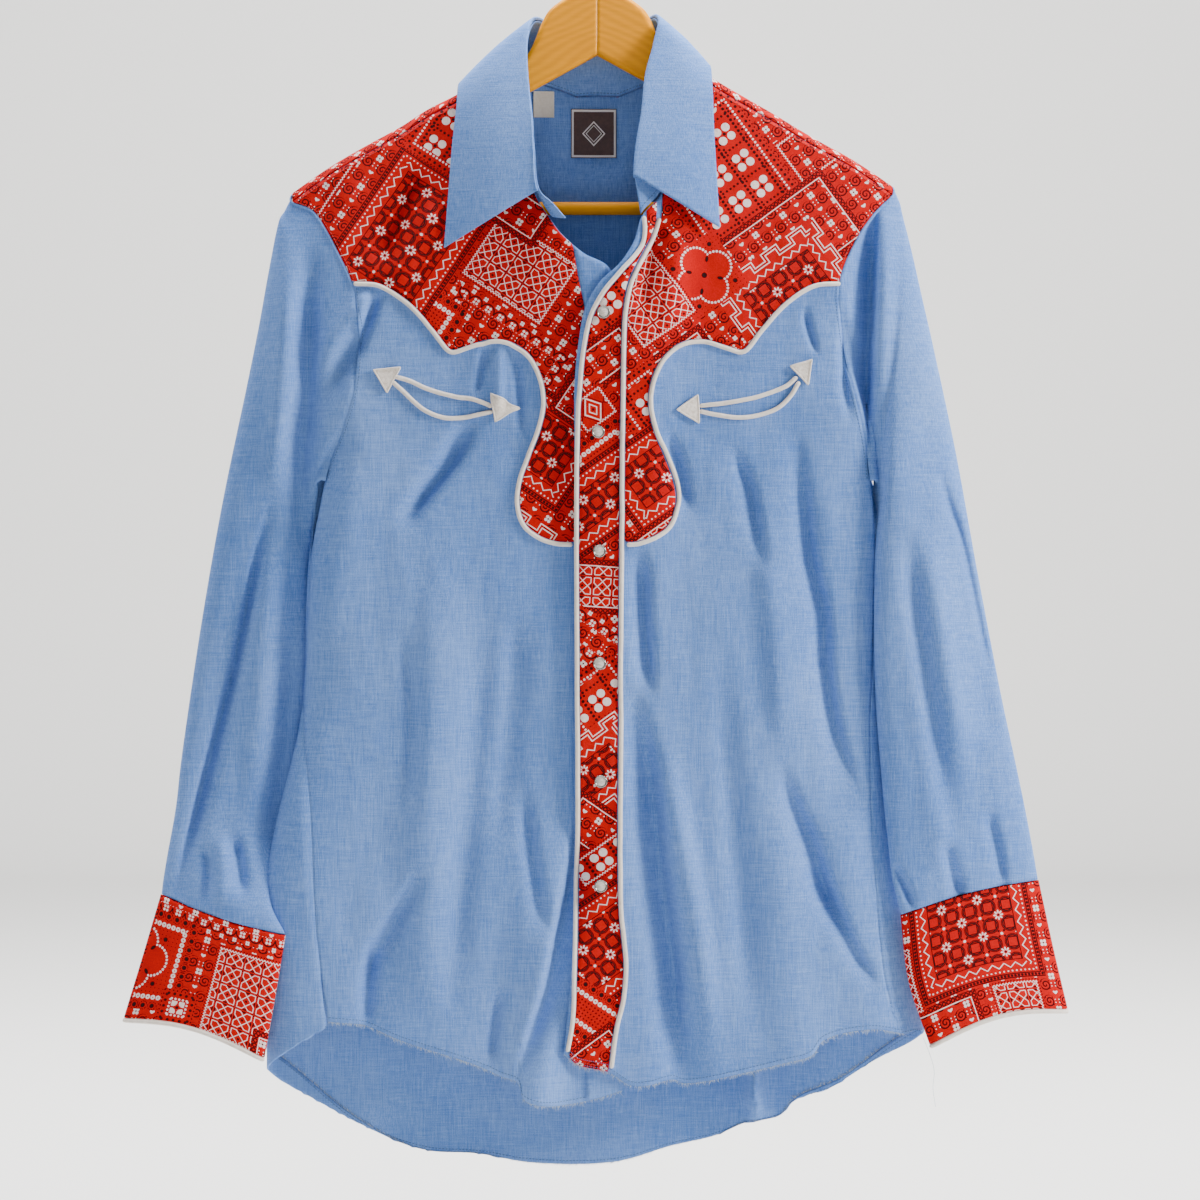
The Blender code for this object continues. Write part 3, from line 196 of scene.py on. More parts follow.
SLEEVE_RIGHT = (
    # outer_x, outer_z, outer_y, inner_x, inner_z, inner_y, half_depth
    (-243, -258, 1, -213, -465, -8, 15), (-250, -292, 3, -216, -480, -3, 18),
    (-258, -336, 4, -218.5, -502, 3, 20), (-267, -381, 4, -218.5, -525, 8, 21),
    (-286, -472, 4, -216.5, -576, 12, 21), (-302, -564, 3, -220, -628, 12, 19),
    (-316, -660, 0, -229, -688, 11, 17), (-321, -704, -2, -238.5, -718, 5, 15),
    (-327, -740, -6, -249, -750, -12, 13), (-330, -760, -9, -248, -777, -25, 11),
    (-331, -770, -11, -237, -799, -30, 9),
)
SLEEVE_LEFT = (
    (233, -252, 1, 211.5, -464, -8, 15), (240, -280, 1, 214, -480, -14, 18),
    (248, -316, 0, 212.5, -502, -20, 20), (256, -352, -2, 211.5, -525, -23, 21),
    (273, -433, -5, 211, -578, -25, 21), (289, -522, -7, 213, -634, -25, 19),
    (306, -612, -9, 218, -696, -26, 17), (315, -655, -10, 221, -726, -27, 16),
    (324, -698, -11, 224, -754, -28, 14), (331, -735, -12, 228, -772, -29, 11),
    (335, -759, -13, 231, -784, -30, 9),
)
SLEEVE_FOLDS_RIGHT = (
    (-212, -290, -225, -500, 9, -4.0), (-258, -480, -318, -765, 9, -5.0), (-258, -500, -264, -740, 12, 3.5),
)
SLEEVE_FOLDS_LEFT = (
    (208, -250, 206, -430, 8, -4.0), (262, -452, 300, -640, 8, -3.5), (240, -560, 262, -740, 12, 3.5),
)
CUFF_RIGHT = (
    # outer_x, outer_z, outer_y, inner_x, inner_z, inner_y, half_depth, bow
    (-331, -770, -11, -237, -799, -30, 9, -3), (-345, -818, -13, -245, -847, -30, 9.5, 3),
    (-359, -864, -14, -253, -892, -30, 9.5, 9),
)
CUFF_LEFT = (
    (335, -759, -13, 231, -784, -30, 9, 4), (346, -810, -14, 237, -834, -30, 9.5, 7),
    (357, -857, -15, 253, -882, -30, 9.5, 10),
)
CUFF_SEAM = 0.7

ROLL = (
    # x, z, y
    (-24, -258, -43), (-34, -247, -44), (-44, -237, -42), (-48, -204, -38), (-49.5, -180, -33),
    (-52, -158, -26), (-53.5, -139, -19), (-53.5, -121, -11), (-51, -108, -4), (-46, -102.5, 4),
    (-37, -105, 12), (-21, -112, 17), (0, -116, 19), (20, -112, 17), (35, -105, 12), (44, -100.5, 4),
    (47.5, -107, -4), (44.5, -124, -11), (38, -149, -20), (35, -178, -29), (31, -202, -35),
    (29, -227, -39),
)
LEAF_EDGE = (
    # x, z, y
    (-116, -279, -30.5), (-113, -240, -27.5), (-110, -200, -23), (-107, -170, -17), (-106, -152.5, -6),
    (-104, -150, 5), (-99, -154, 16), (-80, -163, 22), (-40, -170, 32), (0, -171, 36),
    (40, -170, 32), (70, -157, 22), (84, -143, 16), (86, -137.5, 5), (87, -139, -6), (88, -156, -17),
    (89, -190, -25.5), (91, -228, -31.5), (93, -264, -35.5),
)
LEAF_FIRST = 2
ROLL_SHOULDERS = (8, 16)
LEAF_SHOULDERS = (4, 14)
NECK_SEAM = 0.6
LEAF_BULGE = 3.0
LEAF_CLEAR = 0.7

POCKETS = {
    "right": {
        "outer_arrow": ((-169, -372), (-149, -370), (-159, -389)),
        "inner_arrow": ((-61, -401), (-78, -390), (-77, -411)),
        "upper": ((-152, -377), (-142, -380), (-129, -386), (-108, -392), (-94, -394), (-80, -399)),
        "lower": ((-154, -381.5), (-147, -388), (-131, -402), (-116, -408), (-100, -407.5), (-80, -403.5)),
    },
    "left": {
        "outer_arrow": ((163, -364), (147, -369), (160, -383)),
        "inner_arrow": ((60, -402), (76, -391), (77, -412)),
        "upper": ((79, -399), (97, -397), (118, -393), (134, -388), (145, -383), (150.5, -378)),
        "lower": ((79, -403.5), (91, -406), (107, -408), (123, -406), (137, -400.5), (147, -391),
                  (152.5, -382)),
    },
}
NECK_LABEL = (-20, -206, 15, -168)
CARE_LABEL = (-49, -175, -33, -155)

ARM_NECK = (
    # x, z
    (0.03, -76), (14, -79.5), (28, -88.5), (37, -96), (42, -105), (46.5, -116), (51, -126),
    (56.5, -133), (64, -137.5),
)
ARM_SHOULDER = (72, 88, 110, 135, 160, 185, 197)
ARM_UNDER_CLOTH = 3.6
ARM_END = (
    (206, -227), (211, -236), (211, -247), (206, -254), (199, -256), (199, -240), (191, -236),
    (120, -196), (60, -162.5), (0.03, -129.6),
)
WOOD_THICK = 12.0
BAR_RADIUS = 5.0
BAR_Z = -246.6
BAR_HALF_LENGTH = 198.6
WIRE_RADIUS = 1.75
HOOK_RADIUS = 20.0
HOOK_STEM = ((0, -76.5), (0, -66), (0.5, -56), (4, -47.5), (9, -41.5))
HOOK_ARC = (-50, 202, 6)

CREASES_FRONT = (
    # rise, width on the left of the run, width on its right, points of x, z
    (-3.0, 8, 4, ((-92, -408), (-97, -417), (-110, -442), (-126, -462), (-146, -486))),
    (-1.8, 3, 4, ((-64, -350), (-60, -380), (-57, -425))),
    (-1.8, 3, 4, ((-84, -348), (-88, -372), (-92, -394))),
    (1.4, 4, 4, ((-74, -348), (-74, -375), (-76, -410))),
    (-2.6, 7, 5, ((-56, -680), (-46, -757), (-34, -810))),
    (-6.6, 3, 14, ((-14, -700), (-23, -765), (-30, -798), (-38, -839), (-52, -880), (-62, -915))),
    (-2.5, 5, 8, ((-130, -740), (-145, -775), (-168, -812), (-180, -850))),
    (-3.0, 3, 6, ((-170, -800), (-174, -835), (-177, -872))),
    (-2.4, 4, 5, ((-72, -835), (-77, -865), (-81, -900))),
    (-3.4, 5, 4, ((-164, -309), (-171, -326), (-178, -345), (-184, -365))),
    (2.2, 5, 5, ((-174, -308), (-180, -330), (-184, -350))),
    (-2.6, 9, 11, ((-132, -212), (-148, -250), (-170, -296))),
    (2.0, 9, 9, ((-112, -235), (-134, -270), (-160, -316))),
    (-1.8, 6, 8, ((-150, -560), (-140, -640), (-146, -720))),
    (2.2, 14, 18, ((-120, -470), (-124, -600), (-134, -760), (-128, -880))),
    (-2.6, 14, 12, ((-84, -520), (-90, -640), (-104, -780), (-112, -890))),
    (-2.4, 10, 14, ((-60, -540), (-66, -640), (-78, -740))),
    (-4.0, 8, 5, ((28, -500), (34, -520), (36, -564), (41, -625))),
    (-5.0, 12, 6, ((21, -600), (35, -645), (44, -698), (49, -749), (58, -814), (61, -873), (63, -912))),
    (3.0, 12, 10, ((48, -640), (62, -720), (78, -810), (86, -905))),
    (-2.6, 6, 4, ((52, -415), (60, -436), (65, -452), (69, -480))),
    (-2.6, 6, 4, ((100, -424), (114, -455), (121, -487), (127, -525))),
    (-3.6, 9, 4, ((150, -405), (159, -476), (163, -516), (173, -556), (174, -592), (183, -648), (195, -684),
                  (206, -715))),
    (-3.2, 9, 5, ((136, -665), (150, -700), (163, -731), (174, -767), (185, -796))),
    (-3.0, 8, 4, ((164, -742), (186, -790), (199, -817), (216, -845))),
    (-1.8, 3, 3, ((157, -322), (162, -345), (168, -362))),
    (-2.4, 4, 4, ((192, -308), (187, -361), (192, -415))),
    (-3.0, 8, 7, ((54, -246), (43, -276), (30, -335))),
    (1.8, 8, 8, ((66, -260), (60, -300), (52, -350))),
    (-2.0, 10, 12, ((92, -560), (100, -680), (112, -800), (124, -890))),
    (2.2, 10, 14, ((116, -450), (134, -560), (142, -680))),
)
CREASES_BACK = (
    (-3.0, 10, 14, ((-150, -440), (-140, -600), (-120, -780), (-110, -940))),
    (3.0, 16, 12, ((-60, -430), (-50, -620), (-62, -800), (-70, -960))),
    (-3.0, 14, 8, ((20, -420), (30, -560), (28, -760), (20, -960))),
    (2.6, 12, 16, ((96, -420), (88, -600), (84, -780), (86, -930))),
    (-3.2, 8, 12, ((150, -430), (160, -600), (172, -760), (180, -900))),
    (-2.2, 5, 7, ((-60, -250), (-84, -300), (-120, -340))),
    (-2.2, 7, 5, ((60, -250), (84, -300), (120, -336))),
    (-6.0, 5, 5, ((118, -860), (119, -900), (122, -955))),
)
CREASES_SLEEVE_RIGHT = (
    (-4.0, 9, 8, ((-213, -262), (-219, -319), (-220, -374), (-224, -429), (-227, -466), (-228, -510))),
    (2.4, 9, 9, ((-232, -262), (-238, -340), (-243, -420), (-250, -480))),
    (-5.4, 1.6, 8, ((-246, -462), (-258, -500), (-267, -543), (-276, -583), (-285, -620), (-296, -662),
                    (-304, -693), (-311, -722), (-316, -745), (-321, -780))),
    (2.6, 12, 12, ((-245, -490), (-252, -630), (-258, -720))),
    (-2.6, 7, 7, ((-232, -540), (-236, -620), (-246, -700), (-256, -760))),
    (-3.0, 5, 6, ((-278, -722), (-272, -745), (-268, -775))),
    (-2.4, 4, 5, ((-300, -730), (-296, -755), (-298, -780))),
    (1.8, 6, 6, ((-286, -720), (-284, -750), (-284, -780))),
)
CREASES_SLEEVE_LEFT = (
    (-6.5, 12, 2.2, ((208, -200), (212, -250), (210, -319), (208, -356), (206, -392), (205, -420),
                     (207, -447), (214, -500))),
    (3.0, 5, 12, ((216, -220), (219, -263), (217, -319), (215, -356), (213, -420), (222, -500))),
    (-3.0, 4, 3, ((258, -440), (267, -470), (277, -497), (288, -546), (303, -620))),
    (-2.6, 8, 8, ((232, -480), (244, -570), (258, -660), (272, -740))),
    (2.4, 10, 10, ((248, -480), (262, -580), (280, -690))),
    (-5.0, 2.6, 3.4, ((222, -742), (231, -760), (240, -782))),
    (-2.6, 5, 5, ((262, -725), (270, -752), (276, -778))),
    (-2.4, 5, 4, ((296, -700), (304, -735), (310, -770))),
)

# Where the side edge starts to pass from the sleeve's line to the body's.
SLEEVE_LINE_Z = -340.0
LAST_ROW = len(ROWS_RIGHT) - 1
BACK_CREASES = 1.4
# The share of a crease's run over which it fades in, and out again.
CREASE_FADE = 0.3
HEM_INSET = 3.2
FRINGE_SPACING = 0.35
FRINGE_RADIUS = 0.2
CAP_ANGLES = (0.6, 1.15, 1.5)
STAND_WALL = 1.1
LEAF_WALL = 1.2
CUFF_WALL = 1.3
ARROW_WALL = 2.2
LABEL_WALL = 0.4
LABEL_CLEAR = 1.1
# The rings of a sleeve start this many degrees past its outer edge.
RING_START = 15
SLEEVE_ROWS = 190
SLEEVE_SIDES = 120
# Steps from one row of a collar's table to the next, and points on the collar's three runs.
COLLAR_STEPS = 12
COLLAR_COUNTS = (60, 90, 60)
TOPSTITCH_INSETS = (2.0, 5.2)
SNAP_PROFILE = (
    # radius, height
    (0, 1.55), (1.2, 1.5), (2.4, 1.3), (3.2, 0.95), (3.7, 0.8), (3.9, 1.2), (4.3, 1.45), (4.7, 1.25),
    (5.0, 0.6), (5.0, 0.0), (0, 0),
)
LOOSE_THREAD = ((249, -8, -880), (254, -10, -893), (257, -11, -905), (256, -12, -918), (258, -12, -932))

# ---------------------------------------------------------------- stage sizes, in metres

FLOOR_DROP = 0.12
FLOOR_FRONT = -3.0
FLOOR_HALF_WIDTH = 4
WALL_Y = 5.8
WALL_HIGH = 3.5
COVE = 0.6
EYE_DISTANCE = 3.2
EYE_X = 0.0023
EYE_Y = -0.02
EYE_Z = -0.546
VIEW_WIDTH = 0.912
SENSOR = 36
LIGHTS = (
    # name, place, aim, size, power
    ("key", (3.1, -1.1, 0.75), (0.0, 0.0, -0.5), 0.9, 175),
    ("fill", (-0.1, -3.2, 0.2), (0.0, 0.0, -0.45), 1.6, 12),
    ("top", (0.3, -0.5, 1.9), (0.0, 0.0, -0.5), 1.4, 5),
    ("backdrop", (0.0, 0.9, 2.2), (0.0, 3.6, -0.7), 3.2, 540),
)


# ---------------------------------------------------------------- numbers

def unit(vectors):
    """The vectors at a length of 1."""
    return vectors / np.linalg.norm(vectors, axis=1)[:, None]


def across(vectors, direction):
    """What is left of the vectors when their share along a unit direction is taken away."""
    return vectors - (vectors * direction).sum(axis=1)[:, None] * direction


def smooth_step(t):
    """3t^2 - 2t^3, held at its ends."""
    t = np.clip(t, 0.0, 1.0)
    return t * t * (3 - 2 * t)


def bell(value, width):
    return np.exp(-((value / width) ** 2))


def lengths(points):
    """How far along its path each point lies."""
    steps = np.linalg.norm(np.diff(points, axis=0), axis=-1)
    return np.concatenate([[0.0], np.cumsum(steps)])


def read_along(values, run, where):
    """Rows of values, each known at its number in run, read at the numbers where."""
    return np.column_stack([np.interp(where, run, column) for column in values.T])


def resampled(points, count):
    """The path's points at equal lengths."""
    points = np.asarray(points, float)
    run = lengths(points)
    return read_along(points, run, np.linspace(0, run[-1], count))


def fine_path(points, per_gap=12):
    """A centripetal Catmull-Rom curve through the points, per_gap steps from each to the next."""
    knots = np.asarray(points, float)
    knots = np.vstack([2 * knots[0] - knots[1], knots, 2 * knots[-1] - knots[-2]])
    pieces = []
    for a, b, c, d in zip(knots, knots[1:], knots[2:], knots[3:]):
        t1 = np.linalg.norm(b - a) ** 0.5
        t2 = t1 + np.linalg.norm(c - b) ** 0.5
        t3 = t2 + np.linalg.norm(d - c) ** 0.5
        t = np.linspace(t1, t2, per_gap, endpoint=False)[:, None]
        ab = (t1 - t) / t1 * a + t / t1 * b
        bc = (t2 - t) / (t2 - t1) * b + (t - t1) / (t2 - t1) * c
        cd = (t3 - t) / (t3 - t2) * c + (t - t2) / (t3 - t2) * d
        first = (t2 - t) / t2 * ab + t / t2 * bc
        second = (t3 - t) / (t3 - t1) * bc + (t - t1) / (t3 - t1) * cd
        pieces.append((t2 - t) / (t2 - t1) * first + (t - t1) / (t2 - t1) * second)
    return np.vstack(pieces + [knots[-2:-1]])


def spline(points, step):
    """The curve through the points, at about this step."""
    fine = fine_path(points)
    return resampled(fine, max(2, round(lengths(fine)[-1] / step) + 1))


def read_at(table, t):
    """The table's rows at fractional row numbers: a cubic through its four nearest rows."""
    rows = np.asarray(table, float)
    padded = np.concatenate([2 * rows[:1] - rows[1:2], rows, 2 * rows[-1:] - rows[-2:-1]])
    t = np.clip(np.asarray(t, float), 0, len(rows) - 1)
    i = np.minimum(t.astype(int), len(rows) - 2)
    f = (t - i).reshape((-1,) + (1,) * (rows.ndim - 1))
    a, b, c, d = padded[i], padded[i + 1], padded[i + 2], padded[i + 3]
    return b + 0.5 * f * (c - a + f * (2 * a - 5 * b + 4 * c - d + f * (3 * (b - c) + d - a)))


def height(table, x):
    """The z of a table's curve at x."""
    fine = fine_path(table)
    return np.interp(x, fine[:, 0], fine[:, 1])


def along(table, z):
    """The x of a falling table's curve at z."""
    fine = fine_path(table)
    return np.interp(-np.asarray(z), -fine[:, 1], fine[:, 0])


def shifted(path, distance):
    """A path in the plane, moved to its left."""
    tangent = unit(np.gradient(path, axis=0))
    return path + distance * np.column_stack([-tangent[:, 1], tangent[:, 0]])


def noise(x, z, size, seed):
    """Soft random heights in -1..1: seeded values on a square lattice, blended by smooth steps."""
    lattice = np.random.RandomState(seed).uniform(-1, 1, (64, 64))
    x, z = np.asarray(x) / size, np.asarray(z) / size
    i, j = np.floor(x).astype(int), np.floor(z).astype(int)
    u, v = smooth_step(x - i), smooth_step(z - j)
    i, j, k, m = i % 64, j % 64, (i + 1) % 64, (j + 1) % 64
    low = lattice[i, j] * (1 - u) + lattice[k, j] * u
    high = lattice[i, m] * (1 - u) + lattice[k, m] * u
    return low * (1 - v) + high * v


# ---------------------------------------------------------------- the shirt's two faces

def relief(folds, x, z):
    """The folds' sum: each a bell across its run, faded in at its first end."""
    total = np.zeros(np.broadcast(x, z).shape)
    for x0, z0, x1, z1, width, rise in folds:
        run_x, run_z = x1 - x0, z1 - z0
        held = np.clip(((x - x0) * run_x + (z - z0) * run_z) / (run_x**2 + run_z**2), 0, 1)
        away = np.hypot(x - x0 - held * run_x, z - z0 - held * run_z)
        total += rise * bell(away, width) * smooth_step(0.25 + 1.5 * held)
    return total


def creases(table, x, z):
    """Sharper folds along bent runs: each a bell across its run with a width of its own on either side,
    which fades out at both ends."""
    total = np.zeros(np.broadcast(x, z).shape)
    for rise, left, right, points in table:
        path = fine_path(points, 3)
        run = lengths(path)
        best = np.full(total.shape, 1e9)
        side = np.zeros(total.shape)
        share = np.zeros(total.shape)
        for (x0, z0), (x1, z1), start, stop in zip(path, path[1:], run, run[1:]):
            run_x, run_z = x1 - x0, z1 - z0
            held = np.clip(((x - x0) * run_x + (z - z0) * run_z) / (run_x**2 + run_z**2), 0, 1)
            off_x, off_z = x - x0 - held * run_x, z - z0 - held * run_z
            away = np.hypot(off_x, off_z)
            nearer = away < best
            best = np.where(nearer, away, best)
            side = np.where(nearer, np.sign(run_x * off_z - run_z * off_x), side)
            share = np.where(nearer, (start + held * (stop - start)) / run[-1], share)
        width = np.where(side > 0, right, left)
        fade = smooth_step(share / CREASE_FADE) * smooth_step((1 - share) / CREASE_FADE)
        total += CREASE_DEPTH * rise * bell(best, width) * fade
    return total


def below_armhole(z):
    """0 down to the sleeve's line, 1 from the underarm on."""
    return smooth_step((SLEEVE_LINE_Z - z) / (SLEEVE_LINE_Z - UNDERARM_Z))


def edge_x(side, z):
    """The silhouette's x: the sleeve's edge above, the body's edge below."""
    upper = SLEEVE_EDGE_RIGHT if side < 0 else SLEEVE_EDGE_LEFT
    lower = BODY_EDGE_RIGHT if side < 0 else BODY_EDGE_LEFT
    share = below_armhole(z)
    return (1 - share) * along(upper, z) + share * along(lower, z)


def rounding(x, z):
    """0 at the silhouette, 1 from SIDE_ROUND inside it; and the depth of that edge."""
    x, z = np.broadcast_arrays(np.asarray(x, float), np.asarray(z, float))
    right = x < 0
    inside = np.where(right, x - edge_x(-1, z), edge_x(1, z) - x)
    share = np.clip(inside / SIDE_ROUND, 0, 1)
    edge_y = np.where(right, RIGHT_EDGE_Y, LEFT_EDGE_Y)
    return np.sqrt(1 - (1 - share) ** 2), below_armhole(z) * edge_y


def fold_depth(drop, depth):
    """The depth at a drop below the shoulder fold: a quarter circle, then on towards the depth."""
    share = np.clip(drop / FOLD_RADIUS, 0, 1)
    beyond = depth * (1 - np.exp(-np.maximum(drop, 0) / DEPTH_LENGTH))
    return FOLD_RADIUS * np.sqrt(1 - (1 - share) ** 2) + beyond


def rumple(x, z, seed):
    """Small uneven rises of worn cloth: two sizes of soft noise, drawn out downwards."""
    return 0.9 * noise(x, z * 0.35, 21, seed) + 0.35 * noise(x, z * 0.5, 8, seed + 1)


def front_y(x, z):
    """The front's y: the depth below the shoulder fold, a rise at the neck and the folds, all turned
    back to the edge's own y near the silhouette."""
    drop = height(TOP_EDGE, x) - z
    full = -fold_depth(drop, FRONT_DEPTH) - NECK_FRONT * bell(x, 70) * bell(z + 265, 95)
    turn, edge = rounding(x, z)
    fine = relief(FOLDS_FRONT, x, z) + creases(CREASES_FRONT, x, z) + rumple(x, z, 5)
    return (1 - turn) * edge + turn * (full - fine)


def back_y(x, z):
    """The back's y, put together as the front's."""
    drop = height(TOP_EDGE, x) - z
    full = fold_depth(drop, BACK_DEPTH) + NECK_BACK * bell(x, 60) * bell(drop - 45, 60)
    turn, edge = rounding(x, z)
    fine = relief(FOLDS_BACK, x, z) + BACK_CREASES * creases(CREASES_BACK, x, z) + rumple(x, z, 11)
    return (1 - turn) * edge + turn * (full + fine)


# ---------------------------------------------------------------- panels' plans

def seam_z(x):
    """The shoulder seam's z on the front."""
    return height(TOP_EDGE, x) - SHOULDER_SEAM_DROP - SEAM


def side_rows(side):
    """A front's table of rows, the first set on the shoulder seam."""
    rows = np.array(ROWS_RIGHT if side < 0 else ROWS_LEFT, float)
    rows[0, 1], rows[0, 3] = seam_z(rows[0, 0]), seam_z(rows[0, 2])
    return rows


def row_numbers(tables, count):
    """Fractional row numbers whose rows lie evenly spaced down the panel."""
    t = np.linspace(0, LAST_ROW, 400)
    mean = sum(lengths(read_at(rows, t)[:, k : k + 2]) for rows in tables for k in (0, 2))
    return np.interp(np.linspace(0, mean[-1], count), mean, t)


def coons(top, bottom, first, last, u, v):
    """A patch between four edges: the two ruled surfaces, less the one through the corners."""
    u, v = u[None, :, None], v[:, None, None]
    corners = (1 - u) * (1 - v) * top[0] + u * (1 - v) * top[-1]
    corners = corners + (1 - u) * v * bottom[0] + u * v * bottom[-1]
    ruled = (1 - v) * top[None] + v * bottom[None] + (1 - u) * first[:, None] + u * last[:, None]
    return ruled - corners


def front_lift(side, x):
    """How far the left front stands off where it laps over the right one."""
    return 0.0 if side < 0 else OVERLAP_LIFT * smooth_step((85 - x) / 50)


def front_plan(side, t, columns):
    """(x, z) of a front on rows t and evenly spread columns, from the centre edge to the side."""
    rows = side_rows(side)
    edges = read_at(rows, t)
    whole = read_at(rows, np.array([0, float(LAST_ROW)]))
    share = np.linspace(0, 1, columns)
    top_x = whole[0, 0] + share * (whole[0, 2] - whole[0, 0])
    top = np.column_stack([top_x, seam_z(top_x)])
    low_x = whole[1, 0] + share * (whole[1, 2] - whole[1, 0])
    bottom = np.column_stack([low_x, height(HEM_RIGHT if side < 0 else HEM_LEFT, low_x)])
    bottom[0], bottom[-1] = whole[1, :2], whole[1, 2:]
    return coons(top, bottom, edges[:, :2], edges[:, 2:], share, np.asarray(t) / LAST_ROW)


def front_points(side, t, columns):
    """A front's grid: its plan's rows and columns set on the front."""
    return front_place(side, front_plan(side, t, columns))


def front_place(side, plan, layer=0.0):
    """Points of the plan set on the front, moved out by a layer along its slope."""
    x, z = plan[..., 0], plan[..., 1]
    y = front_y(x, z) - front_lift(side, x)
    if layer:
        step = 0.5
        slope_x = (front_y(x + step, z) - front_lift(side, x + step) - y) / step
        slope_z = (front_y(x, z + step) - front_lift(side, x) - y) / step
        size = np.sqrt(1 + slope_x**2 + slope_z**2)
        x, y, z = x + layer * slope_x / size, y - layer / size, z + layer * slope_z / size
    return np.stack([x, y, z], axis=-1)


def path_to_x(p, side, z):
    """A place along a level line round the side, as (x, whether it is on the front)."""
    far = np.abs(p)
    turned = SIDE_ROUND * (1 - np.cos(np.minimum(far / SIDE_ROUND, math.pi / 2)))
    inside = np.where(far < SIDE_ROUND * math.pi / 2, turned, far - SIDE_ROUND * (math.pi / 2 - 1))
    return edge_x(side, z) - side * inside, p < 0


def wrap_length(side, x, z):
    """How far round the side a place on the front lies from the silhouette."""
    inside = np.maximum(side * (edge_x(side, z) - x), 0.0)
    return SIDE_ROUND * np.arccos(1 - np.minimum(inside / SIDE_ROUND, 1.0))


def back_points(t, columns, wraps=10):
    """The back's grid: over the shoulder folds from the front, down, and round both sides."""
    rights, lefts = side_rows(-1), side_rows(1)
    last_column = len(BACK_COLUMNS) - 1
    jj = np.linspace(0, last_column, columns)
    numbers = np.arange(last_column + 1)
    table = np.array(BACK_COLUMNS, float)
    ends = np.where(table[:, 1] < 0, SHOULDER_SEAM_DROP + SEAM, table[:, 1] + NECK_STRIP)
    x_top = np.interp(jj, numbers, table[:, 0])
    start = np.interp(jj, numbers, table[:, 1])
    end = np.interp(jj, numbers, ends)
    top = np.column_stack([x_top, height(TOP_EDGE, x_top) - end])
    first, last = read_at(rights, t)[:, 2:], read_at(lefts, t)[:, 2:]
    ends_first, ends_last = rights[-1, 2:], lefts[-1, 2:]
    low_x = np.linspace(HEM_BACK[0][0], HEM_BACK[-1][0], columns)
    bottom = np.column_stack([low_x, height(HEM_BACK, low_x)])
    bottom[0], bottom[-1] = ends_first, ends_last
    share = np.linspace(0, 1, columns)
    plan = coons(top, bottom, first, last, share, t / LAST_ROW)

    place = start[None] + np.linspace(0, 1, wraps, endpoint=False)[:, None] * (end - start)[None]
    wrap_x = np.broadcast_to(x_top, place.shape)
    wrap_z = height(TOP_EDGE, wrap_x) - np.abs(place)
    wrap_y = np.where(place < 0, front_y(wrap_x, wrap_z), back_y(wrap_x, wrap_z))
    wrap = np.stack([wrap_x, wrap_y, wrap_z], axis=-1)

    x, z = plan[..., 0], plan[..., 1]
    low = smooth_step((t - 8) / 5)[:, None]
    near = wrap_length(-1, first[:, 0], first[:, 1])[:, None]
    far = wrap_length(1, last[:, 0], last[:, 1])[:, None]
    z_mid = plan[:, columns // 2, 1]
    span = (edge_x(1, z_mid) - edge_x(-1, z_mid) + (math.pi - 2) * SIDE_ROUND)[:, None]
    p = -near + SEAM + share[None] * (span + near + far - 2 * SEAM)
    from_right, front_right = path_to_x(p, -1, z)
    from_left, front_left = path_to_x(span - p, 1, z)
    nearer = p < span / 2
    on_front = np.where(nearer, front_right, front_left)
    x = (1 - low) * x + low * np.where(nearer, from_right, from_left)
    # The hem's corners, where the back comes round to the front.
    drop = np.clip(t - (LAST_ROW - 1), 0, 1)[:, None]
    corner = np.where(x < 0, -1, 1)
    end_x = np.where(corner < 0, ends_first[0], ends_last[0])
    end_z = np.where(corner < 0, ends_first[1], ends_last[1])
    edge = np.where(corner < 0, HEM_BACK[0][0], HEM_BACK[-1][0])
    edge_z = np.where(corner < 0, HEM_BACK[0][1], HEM_BACK[-1][1])
    round_z = end_z + np.clip((x - end_x) / (edge - end_x), 0, 1) * (edge_z - end_z)
    aim = np.where(on_front, round_z, height(HEM_BACK, x))
    z = z + drop * (aim - z)
    turned = np.clip(t - 12, 0, 1)[:, None] * on_front
    y = (1 - turned) * back_y(x, z) + turned * front_y(x, z)
    return np.vstack([wrap, np.stack([x, y, z], axis=-1)])


# ---------------------------------------------------------------- meshes

def grid_mesh(name, points, uv, closed=False):
    """Quads over rows of points in millimetres; uv has one more column where the rows close."""
    rows, columns = points.shape[:2]
    index = np.arange(rows * columns).reshape(rows, columns)
    if closed:
        index = np.column_stack([index, index[:, 0]])
    wide = index.shape[1]
    place = np.arange(rows * wide).reshape(rows, wide)

    def corners(grid):
        return np.stack([grid[:-1, :-1], grid[1:, :-1], grid[1:, 1:], grid[:-1, 1:]], axis=-1).reshape(-1)

    loops = corners(index)
    mesh = bpy.data.meshes.new(name)
    mesh.vertices.add(rows * columns)
    mesh.vertices.foreach_set("co", (points * MM).reshape(-1))
    mesh.loops.add(len(loops))
    mesh.loops.foreach_set("vertex_index", loops)
    mesh.polygons.add(len(loops) // 4)
    mesh.polygons.foreach_set("loop_start", np.arange(0, len(loops), 4))
    mesh.uv_layers.new(name="UVMap")
    mesh.uv_layers[0].uv.foreach_set("vector", uv.reshape(-1, 2)[corners(place)].reshape(-1))
    mesh.update(calc_edges=True)
    mesh.shade_smooth()
    return mesh


def cloth_uv(points, closed=False):
    """Each point's run along its row and down its column, in metres."""
    if closed:
        points = np.concatenate([points, points[:, :1]], axis=1)
    wide = np.linalg.norm(np.diff(points, axis=1), axis=-1).mean(axis=0)
    down = np.linalg.norm(np.diff(points, axis=0), axis=-1).mean(axis=1)
    u = np.concatenate([[0], np.cumsum(wide)])
    v = -np.concatenate([[0], np.cumsum(down)])
    return np.stack(np.broadcast_arrays(u[None], v[:, None]), axis=-1) * MM


